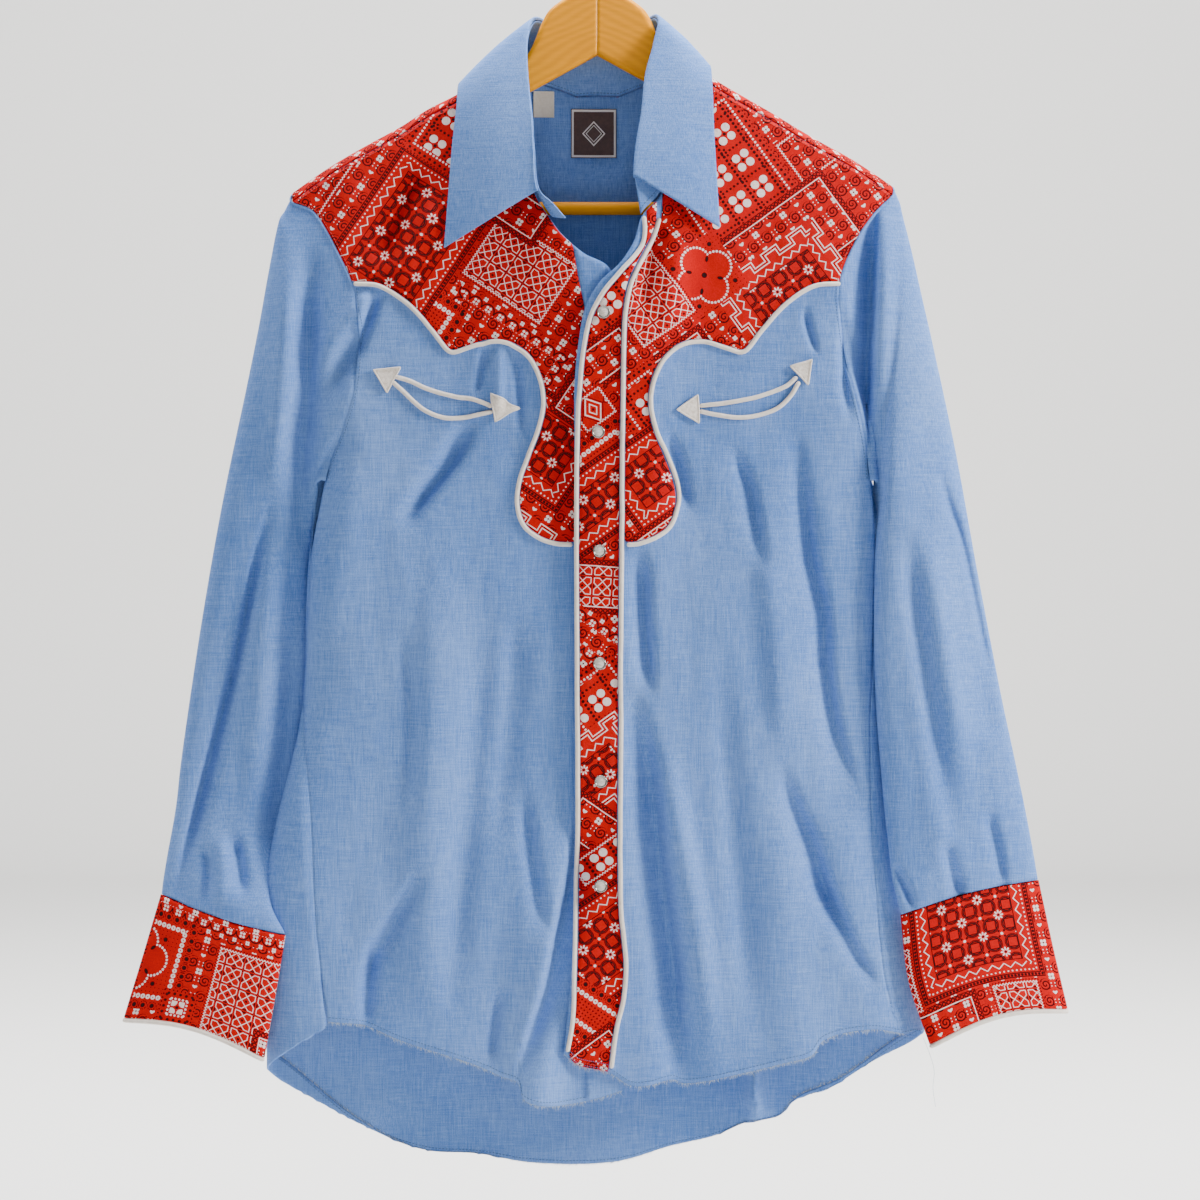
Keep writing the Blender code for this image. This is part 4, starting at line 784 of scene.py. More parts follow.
def cloth_area(points, closed=False):
    """The cloth's area in square metres, and its widest row and longest column in metres."""
    if closed:
        points = np.concatenate([points, points[:, :1]], axis=1)
    a = points[1:, :-1] - points[:-1, :-1]
    b = points[:-1, 1:] - points[:-1, :-1]
    c = points[1:, 1:] - points[1:, :-1]
    d = points[1:, 1:] - points[:-1, 1:]
    area = sum(np.linalg.norm(np.cross(*pair), axis=-1).sum() / 2 for pair in ((a, b), (c, d)))
    wide = np.linalg.norm(np.diff(points, axis=1), axis=-1).sum(axis=1).max()
    long = np.linalg.norm(np.diff(points, axis=0), axis=-1).sum(axis=0).max()
    return area * 1e-6, wide * MM, long * MM


def inside_of(outline, spots):
    """Whether each spot lies inside a closed outline (an odd number of edges cross the level line to
    its right), and how far it is from the nearest edge."""
    start, stop = outline[:, None], np.roll(outline, -1, axis=0)[:, None]
    way = stop - start
    gap = spots[None] - start
    crosses = (start[..., 1] > spots[None, :, 1]) != (stop[..., 1] > spots[None, :, 1])
    with np.errstate(divide="ignore", invalid="ignore"):
        at = start[..., 0] + gap[..., 1] / way[..., 1] * way[..., 0]
    inside = (crosses & (spots[None, :, 0] < at)).sum(axis=0) % 2 == 1
    held = np.clip((gap * way).sum(axis=-1) / (way * way).sum(axis=-1), 0, 1)
    return inside, np.linalg.norm(gap - held[..., None] * way, axis=-1).min(axis=0)


def net(outline, spacing):
    """A triangle net over an outline: its own points and a lattice inside it."""
    outline = resampled(np.vstack([outline, outline[:1]]), round(lengths(outline)[-1] / spacing))[:-1]
    low, high = outline.min(axis=0), outline.max(axis=0)
    grid_x, grid_z = np.meshgrid(np.arange(low[0], high[0], spacing),
                                 np.arange(low[1], high[1], spacing * 0.87))
    grid_x[1::2] += spacing / 2
    inner = np.column_stack([grid_x.ravel(), grid_z.ravel()])
    inside, near = inside_of(outline, inner)
    points = np.vstack([outline, inner[inside & (near > spacing * 0.6)]])
    found = delaunay_2d_cdt([tuple(p) for p in points], [], [list(range(len(outline)))], 1, 1e-5)
    return np.array([tuple(v) for v in found[0]]), np.array(found[2]), outline


def triangle_mesh(name, points, triangles):
    """A mesh of triangles from arrays, in millimetres."""
    mesh = bpy.data.meshes.new(name)
    mesh.vertices.add(len(points))
    mesh.vertices.foreach_set("co", (points * MM).reshape(-1))
    mesh.loops.add(triangles.size)
    mesh.loops.foreach_set("vertex_index", triangles.reshape(-1))
    mesh.polygons.add(len(triangles))
    mesh.polygons.foreach_set("loop_start", np.arange(0, triangles.size, 3))
    mesh.update(calc_edges=True)
    mesh.shade_smooth()
    return mesh


def cut_mesh(name, outline, place, spacing):
    """Cloth cut to an outline in the XZ plane: a triangle net over the outline and a lattice inside it,
    each point then set in space by place."""
    plan, faces, _ = net(outline, spacing)
    spots = place(plan)
    mesh = triangle_mesh(name, spots, faces)
    mesh.uv_layers.new(name="UVMap")
    mesh.uv_layers[0].uv.foreach_set("vector", (plan[faces.reshape(-1)] * MM).reshape(-1))
    sides = spots[faces[:, 1]] - spots[faces[:, 0]], spots[faces[:, 2]] - spots[faces[:, 0]]
    area = np.linalg.norm(np.cross(*sides), axis=-1).sum() / 2 * 1e-6
    return mesh, area, (plan.max(axis=0) - plan.min(axis=0)) * MM


def slab_mesh(name, outline, half, radius, spacing):
    """A plate in the XZ plane with rounded edges: the same net on both faces, sunk by a quarter circle
    where it comes nearer to the outline than the radius, and joined along it."""
    plan, faces, outline = net(outline, spacing)
    _, near = inside_of(outline, plan)
    rim = np.flatnonzero(near < 1e-3)
    # The edge where the two arms meet stays square.
    joint = np.abs(outline[:, :1]) < 0.1
    _, near = inside_of(outline - joint * (np.sign(outline[:, 0].mean()) * 30, 0), plan)
    dip = radius - np.sqrt(np.maximum(radius**2 - (radius - np.minimum(near, radius)) ** 2, 0))
    front = np.column_stack([plan[:, 0], -(half - dip), plan[:, 1]])
    back = front * (1, -1, 1)
    order = np.argsort(np.argmin(np.linalg.norm(plan[rim][:, None] - outline[None], axis=-1), axis=1))
    rim = rim[order]
    after = np.roll(rim, -1)
    count = len(plan)
    skirt = np.concatenate([
        np.stack([after, rim, rim + count], axis=-1), np.stack([after, rim + count, after + count], axis=-1),
    ])
    triangles = np.concatenate([faces, faces[:, ::-1] + count, skirt])
    return triangle_mesh(name, np.vstack([front, back]), triangles)


STITCH = (
    # along, across, up
    (-0.5, 0, -1.4), (-0.3, -1, 0), (-0.3, 0, -1), (-0.3, 1, 0), (-0.3, 0, 1),
    (0.3, -1, 0), (0.3, 0, -1), (0.3, 1, 0), (0.3, 0, 1), (0.5, 0, -1.4),
)
STITCH_FACES = (
    (0, 2, 1), (0, 3, 2), (0, 4, 3), (0, 1, 4), (9, 5, 6), (9, 6, 7), (9, 7, 8), (9, 8, 5),
    (1, 2, 6), (1, 6, 5), (2, 3, 7), (2, 7, 6), (3, 4, 8), (3, 8, 7), (4, 1, 5), (4, 5, 8),
)
THREAD_FACES = (
    (0, 3, 1), (1, 3, 4), (1, 4, 2), (2, 4, 5), (2, 5, 0), (0, 5, 3), (3, 6, 4), (4, 6, 5), (5, 6, 3),
    (0, 1, 2),
)


def repeated(shape, faces, places, frames):
    """Copies of a small shape: at each place, its three axes along the three rows of that frame."""
    points = places[:, None] + np.einsum("vk,nkc->nvc", shape, frames)
    shift = np.arange(len(places))[:, None, None] * len(shape)
    return points.reshape(-1, 3), (np.array(faces)[None] + shift).reshape(-1, 3)


def stitch_mesh(name, path, facing, pitch, radius=0.28):
    """A row of short threads along a path, each with its two ends sunk in the cloth."""
    run = lengths(path)
    count = max(2, int(run[-1] / pitch))
    at = (np.arange(count) + 0.5) * run[-1] / count
    forward = unit(read_along(path, run, at + 0.4) - read_along(path, run, at - 0.4))
    up = unit(across(read_along(facing, run, at), forward))
    frames = np.stack([forward * pitch * 0.82, np.cross(up, forward) * radius, up * radius], axis=1)
    places = read_along(path, run, at) + 0.1 * up
    points, faces = repeated(np.array(STITCH, float), STITCH_FACES, places, frames)
    return triangle_mesh(name, points, faces)


def fringe_mesh(name, path, down, spacing, longest, radius, seed):
    """Loose threads out of a raw edge: three-sided spikes, each bent once, with random length and lean."""
    random = np.random.RandomState(seed)
    run = lengths(path)
    count = int(run[-1] / spacing)
    at = np.sort(random.uniform(0, run[-1], count))
    base = read_along(path, run, at)
    down = unit(read_along(down, run, at))
    tangent = unit(read_along(path, run, at + 1) - read_along(path, run, at - 1))
    front = np.cross(tangent, down)
    long = (0.7 + longest * random.beta(1.2, 4.2, count))[:, None] / 2
    lean, bend, out = random.normal(0, (0.45, 0.5, 0.25), (count, 3)).T[..., None]
    middle = base + long * (down + lean * tangent + out * front)
    tip = middle + long * (down + (lean + bend) * tangent + out * front)
    turns = np.radians([90, 210, 330])
    ring = np.cos(turns)[None, :, None] * tangent[:, None] + np.sin(turns)[None, :, None] * front[:, None]
    rows = [base[:, None] + radius * ring, middle[:, None] + 0.8 * radius * ring, tip[:, None]]
    points = np.concatenate(rows, axis=1)
    shift = np.arange(count)[:, None, None] * points.shape[1]
    faces = (np.array(THREAD_FACES)[None] + shift).reshape(-1, 3)
    return triangle_mesh(name, points.reshape(-1, 3), faces)


def grid_normals(points):
    """The outward normals of a grid: the cross product of its two directions."""
    normal = np.cross(np.gradient(points, axis=0), np.gradient(points, axis=1))
    return normal / np.linalg.norm(normal, axis=-1)[..., None]


def inset_row(points, distance):
    """The line on a grid that lies this far from its last row, and its normals."""
    steps = np.linalg.norm(np.diff(points, axis=0), axis=-1)
    left = np.vstack([np.cumsum(steps[::-1], axis=0)[::-1], np.zeros((1, points.shape[1]))])
    row = np.clip((left > distance).sum(axis=0) - 1, 0, len(points) - 2)
    columns = np.arange(points.shape[1])
    near, far = left[row + 1, columns], left[row, columns]
    share = np.clip((far - distance) / (far - near), 0, 1)[:, None]
    place = points[row, columns] * (1 - share) + points[row + 1, columns] * share
    return place, grid_normals(points)[row, columns]


def crossing(a, b):
    """Where two paths in the plane first cross, as a fractional index on each."""
    p, r = a[:-1, None], np.diff(a, axis=0)[:, None]
    q, s = b[None, :-1], np.diff(b, axis=0)[None]
    turn = r[..., 0] * s[..., 1] - r[..., 1] * s[..., 0]
    with np.errstate(divide="ignore", invalid="ignore"):
        gap = q - p
        t = (gap[..., 0] * s[..., 1] - gap[..., 1] * s[..., 0]) / turn
        u = (gap[..., 0] * r[..., 1] - gap[..., 1] * r[..., 0]) / turn
    hits = np.argwhere((t >= 0) & (t <= 1) & (u >= 0) & (u <= 1))
    if not len(hits):
        raise ValueError("the paths do not cross")
    i, j = hits[0]
    return i + t[i, j], j + u[i, j]


def part_of(path, start, stop):
    """The path from one fractional index to another, in that order."""
    low, high = sorted((start, stop))
    numbers = np.arange(len(path))
    between = numbers[(numbers > low) & (numbers < high)]
    where = np.concatenate([[low], between, [high]])
    found = read_along(path, numbers, where)
    return found if start <= stop else found[::-1]


def tube_mesh(name, path, radius, sides=12, closed=False):
    """A round cord: a circle carried along the path, in frames that turn as little as they can; its
    ends close to a point. UV runs along the cord and round it, in metres."""
    path = np.asarray(path, float)
    if closed:
        tangent = np.roll(path, -1, axis=0) - np.roll(path, 1, axis=0)
    else:
        tangent = np.gradient(path, axis=0)
    tangent = unit(tangent)
    side = np.cross(tangent, [0.0, -1.0, 0.0])
    lost = np.linalg.norm(side, axis=1) < 0.2
    side[lost] = np.cross(tangent[lost], [1.0, 0.0, 0.0])
    side = unit(side)
    front = np.cross(side, tangent)
    angle = np.linspace(0, 2 * math.pi, sides, endpoint=False)
    ring = np.cos(angle)[None, :, None] * side[:, None] + np.sin(angle)[None, :, None] * front[:, None]
    points = path[:, None] + radius * ring
    if closed:
        points = np.concatenate([points, points[:1]])
    else:
        ends = []
        for spot, out, whole in ((path[0], -tangent[0], ring[0]), (path[-1], tangent[-1], ring[-1])):
            ends.append([spot + radius * (math.cos(a) * whole + math.sin(a) * out) for a in CAP_ANGLES])
        points = np.concatenate([ends[0][::-1], points, ends[1]])
    return grid_mesh(name, points, cloth_uv(points, closed=True), closed=True)


# ---------------------------------------------------------------- shader arithmetic

class Value:
    """A number socket of a shader: Python's operators on it add Math nodes."""

    def __init__(self, tree, socket):
        self.tree = tree
        self.socket = socket

    def math(self, operation, *others):
        return node(self.tree, "ShaderNodeMath", {"operation": operation}, (self, *others))

    def __add__(self, other):
        return self.math("ADD", other)

    def __sub__(self, other):
        return self.math("SUBTRACT", other)

    def __rsub__(self, other):
        return self.math("MULTIPLY", -1) + other

    def __mul__(self, other):
        return self.math("MULTIPLY", other)

    def __truediv__(self, other):
        return self.math("DIVIDE", other)

    def __abs__(self):
        return self.math("ABSOLUTE")

    def __lt__(self, other):
        return self.math("LESS_THAN", other)

    def __gt__(self, other):
        return self.math("GREATER_THAN", other)

    def __or__(self, other):
        return self.math("MAXIMUM", other)

    def __and__(self, other):
        return self.math("MULTIPLY", other)

    def wrap(self, period):
        """The distance from the nearest multiple of the period."""
        return self.math("WRAP", period / 2, -period / 2)

    def near(self, centre, reach):
        """1 within the reach of the centre, else 0."""
        return self.math("COMPARE", centre, reach)


def node(tree, kind, settings, inputs, output=0):
    """A shader node: its settings first, then its inputs, each a number, a colour or a Value."""
    made = tree.nodes.new(kind)
    for name, value in settings.items():
        setattr(made, name, value)
    pairs = inputs.items() if isinstance(inputs, dict) else enumerate(inputs)
    for name, value in pairs:
        if isinstance(value, Value):
            tree.links.new(value.socket, made.inputs[name])
        else:
            made.inputs[name].default_value = value
    return Value(tree, made.outputs[output])


def object_place(tree):
    """Object coordinates."""
    return node(tree, "ShaderNodeTexCoord", {}, (), 3)


def uv_place(tree):
    """The piece's own UV map."""
    return node(tree, "ShaderNodeTexCoord", {}, (), 2)


def part(tree, vector, axis):
    """One number of a vector."""
    return node(tree, "ShaderNodeSeparateXYZ", {}, (vector,), axis)


def length(x, y):
    return x.math("MULTIPLY_ADD", x, y * y).math("SQRT")


def disc(x, y, radius):
    """1 nearer than the radius to the local origin, else 0."""
    return x.math("MULTIPLY_ADD", x, y * y) < radius * radius


def larger(x, y):
    return x.math("MAXIMUM", y)


def blend(tree, factor, first, second):
    """A colour between two colours."""
    settings = {"data_type": "RGBA", "clamp_factor": True}
    return node(tree, "ShaderNodeMix", settings, {0: factor, 6: first, 7: second}, 2)


def lighten(tree, colour, factor):
    """The colour times a number."""
    return node(tree, "ShaderNodeVectorMath", {"operation": "SCALE"}, {0: colour, 3: factor})


def bump(tree, rise, distance, strength):
    """A normal tilted by a height map."""
    return node(tree, "ShaderNodeBump", {}, {"Height": rise, "Distance": distance, "Strength": strength})


def grain(tree, vector, scale, detail=2.0, stretch=(1, 1, 1), seed=0.0):
    """Noise in 0..1 about 0.5, its cells stretched along the axes."""
    moves = {"Vector": vector, "Scale": stretch, "Location": (seed, 0, 0)}
    moved = node(tree, "ShaderNodeMapping", {}, moves)
    inputs = {"Vector": moved, "Scale": scale, "Detail": detail}
    return node(tree, "ShaderNodeTexNoise", {"noise_dimensions": "3D"}, inputs)


def new_material(name):
    made = bpy.data.materials.new("mat_" + name)
    made.use_nodes = True
    tree = made.node_tree
    return made, tree, tree.nodes["Principled BSDF"]


def join(tree, value, socket):
    tree.links.new(value.socket, socket)


# ---------------------------------------------------------------- the print

# Each fill and each frame is a drawing on local millimetres, as a white mask and a black mask.

def plain_fill(a, b):
    """Small black dots on plain red."""
    return a * 0, disc(a.wrap(2.9), b.wrap(2.9), 0.6)


def ring_fill(a, b):
    """Rings round rounded squares; eight-petal flowers and dots by turns at the corners."""
    pitch = 14.5
    x, y = a.wrap(pitch), b.wrap(pitch)
    r = length(x, y)
    box = larger(abs(x), abs(y))
    black = r.near(5.0, 0.48) | r.near(6.0, 0.32) | (box.near(3.7, 0.4) & (r < 5.0))
    u, v = (a + pitch / 2).wrap(pitch), (b + pitch / 2).wrap(pitch)
    far = length(u, v)
    petal = u.math("ARCTAN2", v).wrap(math.pi / 4) * far
    flower = disc((far - 2.6) / 1.3, petal / 0.62, 1.0)
    odd = ((a / pitch).math("FLOOR") + (b / pitch).math("FLOOR")).math("PINGPONG", 1)
    white = (flower & odd) | (disc(u, v, 1.05) & (1 - odd))
    corners = disc(abs(u) - 2.1, abs(v) - 2.1, 0.85) & (1 - odd)
    return white, black | corners | (disc(u, v, 0.7) & odd)


def cross_fill(a, b):
    """Crosses of two long hexagons, between double black lines."""
    pitch = 15.0
    x, y = a.wrap(pitch), b.wrap(pitch)
    e, f = abs(x + y) * 0.7071, abs(x - y) * 0.7071
    tip = (e + f - 8.9) * 0.7071
    first, second = larger(f - 2.7, tip), larger(e - 2.7, tip)
    white = first.near(0, 0.28) | second.near(0, 0.28)
    outside = (first > 0.9) & (second > 0.9)
    u, v = abs((a + pitch / 2).wrap(pitch)), abs((b + pitch / 2).wrap(pitch))
    black = ((u.near(1.1, 0.55) | v.near(1.1, 0.55)) & outside) | disc(x, y, 0.8)
    return white, black


def cluster_fill(a, b):
    """Fours of discs, with lines of dots between."""
    x, y = a.wrap(21.0), b.wrap(24.5)
    white = disc(abs(x) - 3.9, abs(y) - 3.9, 3.2)
    u, v = (a + 10.5).wrap(21.0), (b + 12.25).wrap(24.5)
    rows = disc(a.wrap(3.4), v, 0.95) | disc(u, b.wrap(3.4), 1.15) | disc(u - 3.0, b.wrap(4.9), 0.9)
    return white, disc(x, y, 1.15) | (rows & (1 - white))


def scroll_fill(a, b):
    """Black scrolls with white four-petal flowers and leaves."""
    pitch = 13.0
    x, y = a.wrap(pitch), b.wrap(pitch)
    r = length(x, y)
    turn = x.math("ARCTAN2", y) / (2 * math.pi)
    black = (r / 2.5 - turn).wrap(1).near(0, 0.2) & (r < 4.8) & (r > 0.5)
    u, v = (a + pitch / 2).wrap(pitch), (b + pitch / 2).wrap(pitch)
    odd = ((a / pitch).math("FLOOR") + (b / pitch).math("FLOOR")).math("PINGPONG", 1)
    flower = disc(abs(u) - 1.25, abs(v) - 1.25, 1.2) & odd
    leaf = disc(u / 1.9, (v - abs(u) * 0.5) / 1.1, 1.0) & (1 - odd)
    ticks = disc(abs(x) - 4.9, abs(y) - 1.2, 0.45)
    dots = disc(abs(u) - 3.6, abs(v) - 3.6, 0.5) | (disc(u, v, 0.6) & odd)
    return flower | leaf | ticks, black | dots


def quatrefoil_fill(a, b):
    """A four-lobed outline of white dots, with black ellipses on its diagonals."""
    x, y = larger(abs(a), abs(b)), abs(a).math("MINIMUM", abs(b))
    off = x - 11.3
    ring = length(off, y)
    step = off.math("ARCTAN2", y).wrap(math.pi / 14) * 11.6
    white = disc(ring - 11.6, step, 0.95) & (length(a, b) > 5.0)
    diagonal, across_it = (x + y) * 0.7071, (x - y) * 0.7071
    seed = disc((diagonal - 12.5) / 2.3, across_it / 1.25, 1.0)
    outer = disc(diagonal - 24.0, across_it, 1.7)
    specks = disc(a.wrap(3.3), b.wrap(3.3), 0.38)
    return white, disc(a, b, 2.1) | seed | outer | (specks & (ring > 12.4))


def diamond_fill(a, b):
    """Diamonds one inside another, in white."""
    x, y = abs(a.wrap(19.0)), abs(b.wrap(26.0))
    far = x + y * 0.72
    white = far.near(7.2, 0.6) | far.near(3.4, 0.5)
    return white, disc(x, y, 0.9) | far.near(9.2, 0.3)


def zigzag_frame(s, d):
    """A black line, a white zigzag, a row of white dots and a black chain."""
    zigzag = (d - 2.6 - s.math("PINGPONG", 4.5) * 0.85).near(0, 0.46)
    white = zigzag | disc(s.wrap(3.3), d - 9.2, 0.62)
    chain = d.near(11.6, 0.4) | d.near(14.6, 0.4) | disc(s.wrap(2.7), d - 13.1, 1.0)
    spots = disc((s - 4.5).wrap(9), d - 6.6, 0.7)
    return white, d.near(0.2, 0.4) | chain | spots


def line_frame(s, d):
    """A straight white line, with black curls outside it."""
    curl = length(s.wrap(3.6), d - 2.9)
    return d.near(0.3, 0.42), curl.near(1.35, 0.42) | d.near(5.0, 0.3)


def wavy_frame(s, d):
    """A fine wavy white line, with a row of small black dots."""
    wave = (s * (2 * math.pi / 2.4)).math("SINE") * 0.5
    return (d - 1.0 - wave).near(0, 0.42), disc(s.wrap(2.4), d - 3.0, 0.5)


def scallop_frame(s, d):
    """Black scallops over white four-petal flowers, and small flowers outside."""
    x = s.wrap(11)
    arc = length(x, d - 1.4).near(5.3, 0.5) & (d > 1.4)
    flower = disc(abs(x) - 1.25, abs(d - 3.0) - 1.25, 1.0)
    beyond = disc(abs((s + 5.5).wrap(11)) - 0.8, abs(d - 8.4) - 0.8, 0.8)
    dots = disc(s.wrap(2.75), d + 0.4, 0.7)
    return flower | beyond | dots, arc | (disc(x, d - 9.2, 0.6))


def bead_frame(s, d):
    """White beads, then large black dots."""
    bead = length(s.wrap(4.1), d - 2.0)
    white = (bead < 1.8) & (bead > 0.55)
    spot = length(s.wrap(7.2), d - 8.6)
    halo = spot.near(3.1, 0.36) & (s.wrap(1.4).near(0, 0.36))
    return white, (spot < 1.7) | halo


def key_frame(s, d):
    """A black line, a white zigzag, and a stepped double line further out."""
    zigzag = (d - 2.4 - s.math("PINGPONG", 4.0) * 0.9).near(0, 0.5)
    step = (s.wrap(24) > 0) * 6 - 3
    level = abs(d - 13.2 - step)
    riser = larger(abs(s.wrap(12)), abs(d - 13.2) - 3)
    run = level.math("MINIMUM", riser)
    return zigzag | run.near(1.2, 0.42), d.near(0.2, 0.36) | (disc(s.wrap(3), level, 0.42))


def dotted_frame(s, d):
    """A straight row of white dots, with black dots outside."""
    black = disc(s.wrap(4.6), d - 5.4, 1.1) | disc(s.wrap(3.1), d - 8.0, 0.6)
    return disc(s.wrap(2.9), d - 1.6, 0.85), black


FILLS = (plain_fill, ring_fill, cross_fill, cluster_fill, scroll_fill, quatrefoil_fill, diamond_fill)
FRAMES = (
    # drawing, width
    (None, 0.0), (zigzag_frame, 15.6), (line_frame, 5.6), (wavy_frame, 4.0), (scallop_frame, 10.0),
    (bead_frame, 11.8), (key_frame, 18.6), (dotted_frame, 9.0),
)
DRAWING_INPUTS = ("a", "b", "s", "d", "fill", "frame")
PLAIN, RINGS, CROSSES, CLUSTERS, SCROLLS, QUATREFOIL, DIAMONDS = range(7)
NONE, ZIGZAG, LINE, WAVY, SCALLOP, BEADS, KEY, DOTTED = range(8)

# The patches of the print on each piece, the topmost last, in the piece's own millimetres.
PRINTS = {
    "right": (-34, (
        # fill, frame, x, z, turn, half width, half height
        (SCROLLS, SCALLOP, -75, -355, 0, 42, 17),
        (PLAIN, BEADS, -160, -325, 0, 42, 22),
        (RINGS, ZIGZAG, -143, -271, 0, 29, 42),
        (SCROLLS, WAVY, -226, -225, 0, 26, 30),
        (CROSSES, WAVY, -58, -296, 0, 33.5, 24.5),
        (SCROLLS, LINE, -60, -251, 0, 20, 12),
        (CLUSTERS, DOTTED, -92, -192, 0, 34, 30),
        (RINGS, ZIGZAG, -36, -432, 0, 17, 22),
        (SCROLLS, LINE, -14, -392, 0, 9, 16),
        (PLAIN, KEY, -62, -520, 0, 26, 20),
    )),
    "left": (36, (
        (SCROLLS, SCALLOP, 128, -352, 0, 52, 9),
        (CLUSTERS, DOTTED, 94, -224, 0, 35, 45),
        (SCROLLS, WAVY, 172, -196, 0, 30, 16),
        (SCROLLS, LINE, 147.5, -273.5, 0, 45.5, 26.5),
        (RINGS, KEY, 147, -314, 0, 30, 20),
        (QUATREFOIL, NONE, 81, -300, 0, 25, 25),
        (CROSSES, WAVY, 35, -314, 0, 22.5, 32),
        (SCROLLS, LINE, 64, -366, 0, 22, 11),
        (CLUSTERS, DOTTED, 38, -398, 0, 14, 18),
        (RINGS, ZIGZAG, 42, -452, 0, 18, 17),
        (CROSSES, LINE, 52, -500, 0, 26, 11),
    )),
    "placket": (36, (
        (CLUSTERS, DOTTED, 10, -322, 0, 20, 26),
        (SCROLLS, LINE, 4, -365, 0, 24, 12),
        (DIAMONDS, WAVY, -3, -402, 0, 12, 10),
        (PLAIN, BEADS, 6, -437, 0, 16, 8),
        (RINGS, ZIGZAG, 0, -472, 0, 30, 13),
        (CROSSES, LINE, 4, -536, -40, 26, 15),
        (SCROLLS, SCALLOP, 0, -578, -70, 30, 7),
        (CLUSTERS, DOTTED, 2, -622, 0, 20, 18),
        (RINGS, KEY, 0, -676, 0, 20, 12),
        (SCROLLS, LINE, 3, -722, -70, 26, 14),
        (CLUSTERS, WAVY, 4, -742, 0, 20, 8),
        (RINGS, ZIGZAG, 0, -812, 0, 34, 22),
        (PLAIN, BEADS, 0, -862, -70, 30, 8),
        (SCROLLS, LINE, -4, -898, 0, 26, 14),
    )),
    "back": (35, (
        (SCROLLS, SCALLOP, 230, -250, 0, 70, 20),
        (CLUSTERS, DOTTED, 110, -80, 0, 40, 44),
        (CROSSES, WAVY, 190, -150, 0, 40, 30),
        (RINGS, ZIGZAG, 280, -90, 0, 44, 34),
        (SCROLLS, LINE, 370, -60, 0, 40, 26),
        (QUATREFOIL, NONE, 355, -150, 0, 26, 26),
        (RINGS, KEY, 90, -190, 0, 30, 26),
        (CLUSTERS, DOTTED, 280, -210, 0, 34, 26),
        (CROSSES, LINE, 440, -150, 0, 34, 30),
        (SCROLLS, LINE, 40, -110, 0, 26, 26),
    )),
    "cuffright": (0, (
        (RINGS, ZIGZAG, 160, -48, 0, 30, 26),
        (SCROLLS, SCALLOP, 50, 4, 0, 66, 8),
        (QUATREFOIL, BEADS, -4, -46, 0, 29, 25),
        (CLUSTERS, DOTTED, 37, -78, 0, 5, 5),
        (CROSSES, WAVY, 86, -56, 0, 27, 33),
        (SCROLLS, LINE, 110, -88, 0, 9, 10),
    )),
    "cuffleft": (0, (
        (CLUSTERS, DOTTED, 40, -46, 0, 30, 26),
        (SCROLLS, LINE, 137, -88, 0, 24, 10),
        (CROSSES, WAVY, 108, -50, 0, 15, 22),
        (CROSSES, WAVY, 197, -88, 0, 16, 12),
        (RINGS, ZIGZAG, 175, -28, 0, 33, 28),
    )),
}


def print_drawing():
    """A node group: local places and the numbers of a fill and a frame in, white and black out."""
    found = bpy.data.node_groups.get("bandana_drawing")
    if found:
        return found
    tree = bpy.data.node_groups.new("bandana_drawing", "ShaderNodeTree")
    for name in DRAWING_INPUTS:
        tree.interface.new_socket(name, in_out="INPUT", socket_type="NodeSocketFloat")
    for name in ("white", "black"):
        tree.interface.new_socket(name, in_out="OUTPUT", socket_type="NodeSocketFloat")
    entry = tree.nodes.new("NodeGroupInput")
    a, b, s, d, fill, frame_number = (Value(tree, entry.outputs[name]) for name in DRAWING_INPUTS)
    inside = d < 0
    white, black = inside * 0, inside * 0
    for number, draw in enumerate(FILLS):
        chosen = fill.near(number, 0.2) & inside
        pale, dark = draw(a, b)
        white, black = white | (pale & chosen), black | (dark & chosen)
    for number, (draw, _) in enumerate(FRAMES):
        if draw:
            chosen = frame_number.near(number, 0.2) & (1 - inside)
            pale, dark = draw(s, d)
            white, black = white | (pale & chosen), black | (dark & chosen)
    leave = tree.nodes.new("NodeGroupOutput")
    tree.links.new(white.socket, leave.inputs["white"])
    tree.links.new(black.socket, leave.inputs["black"])
    return tree


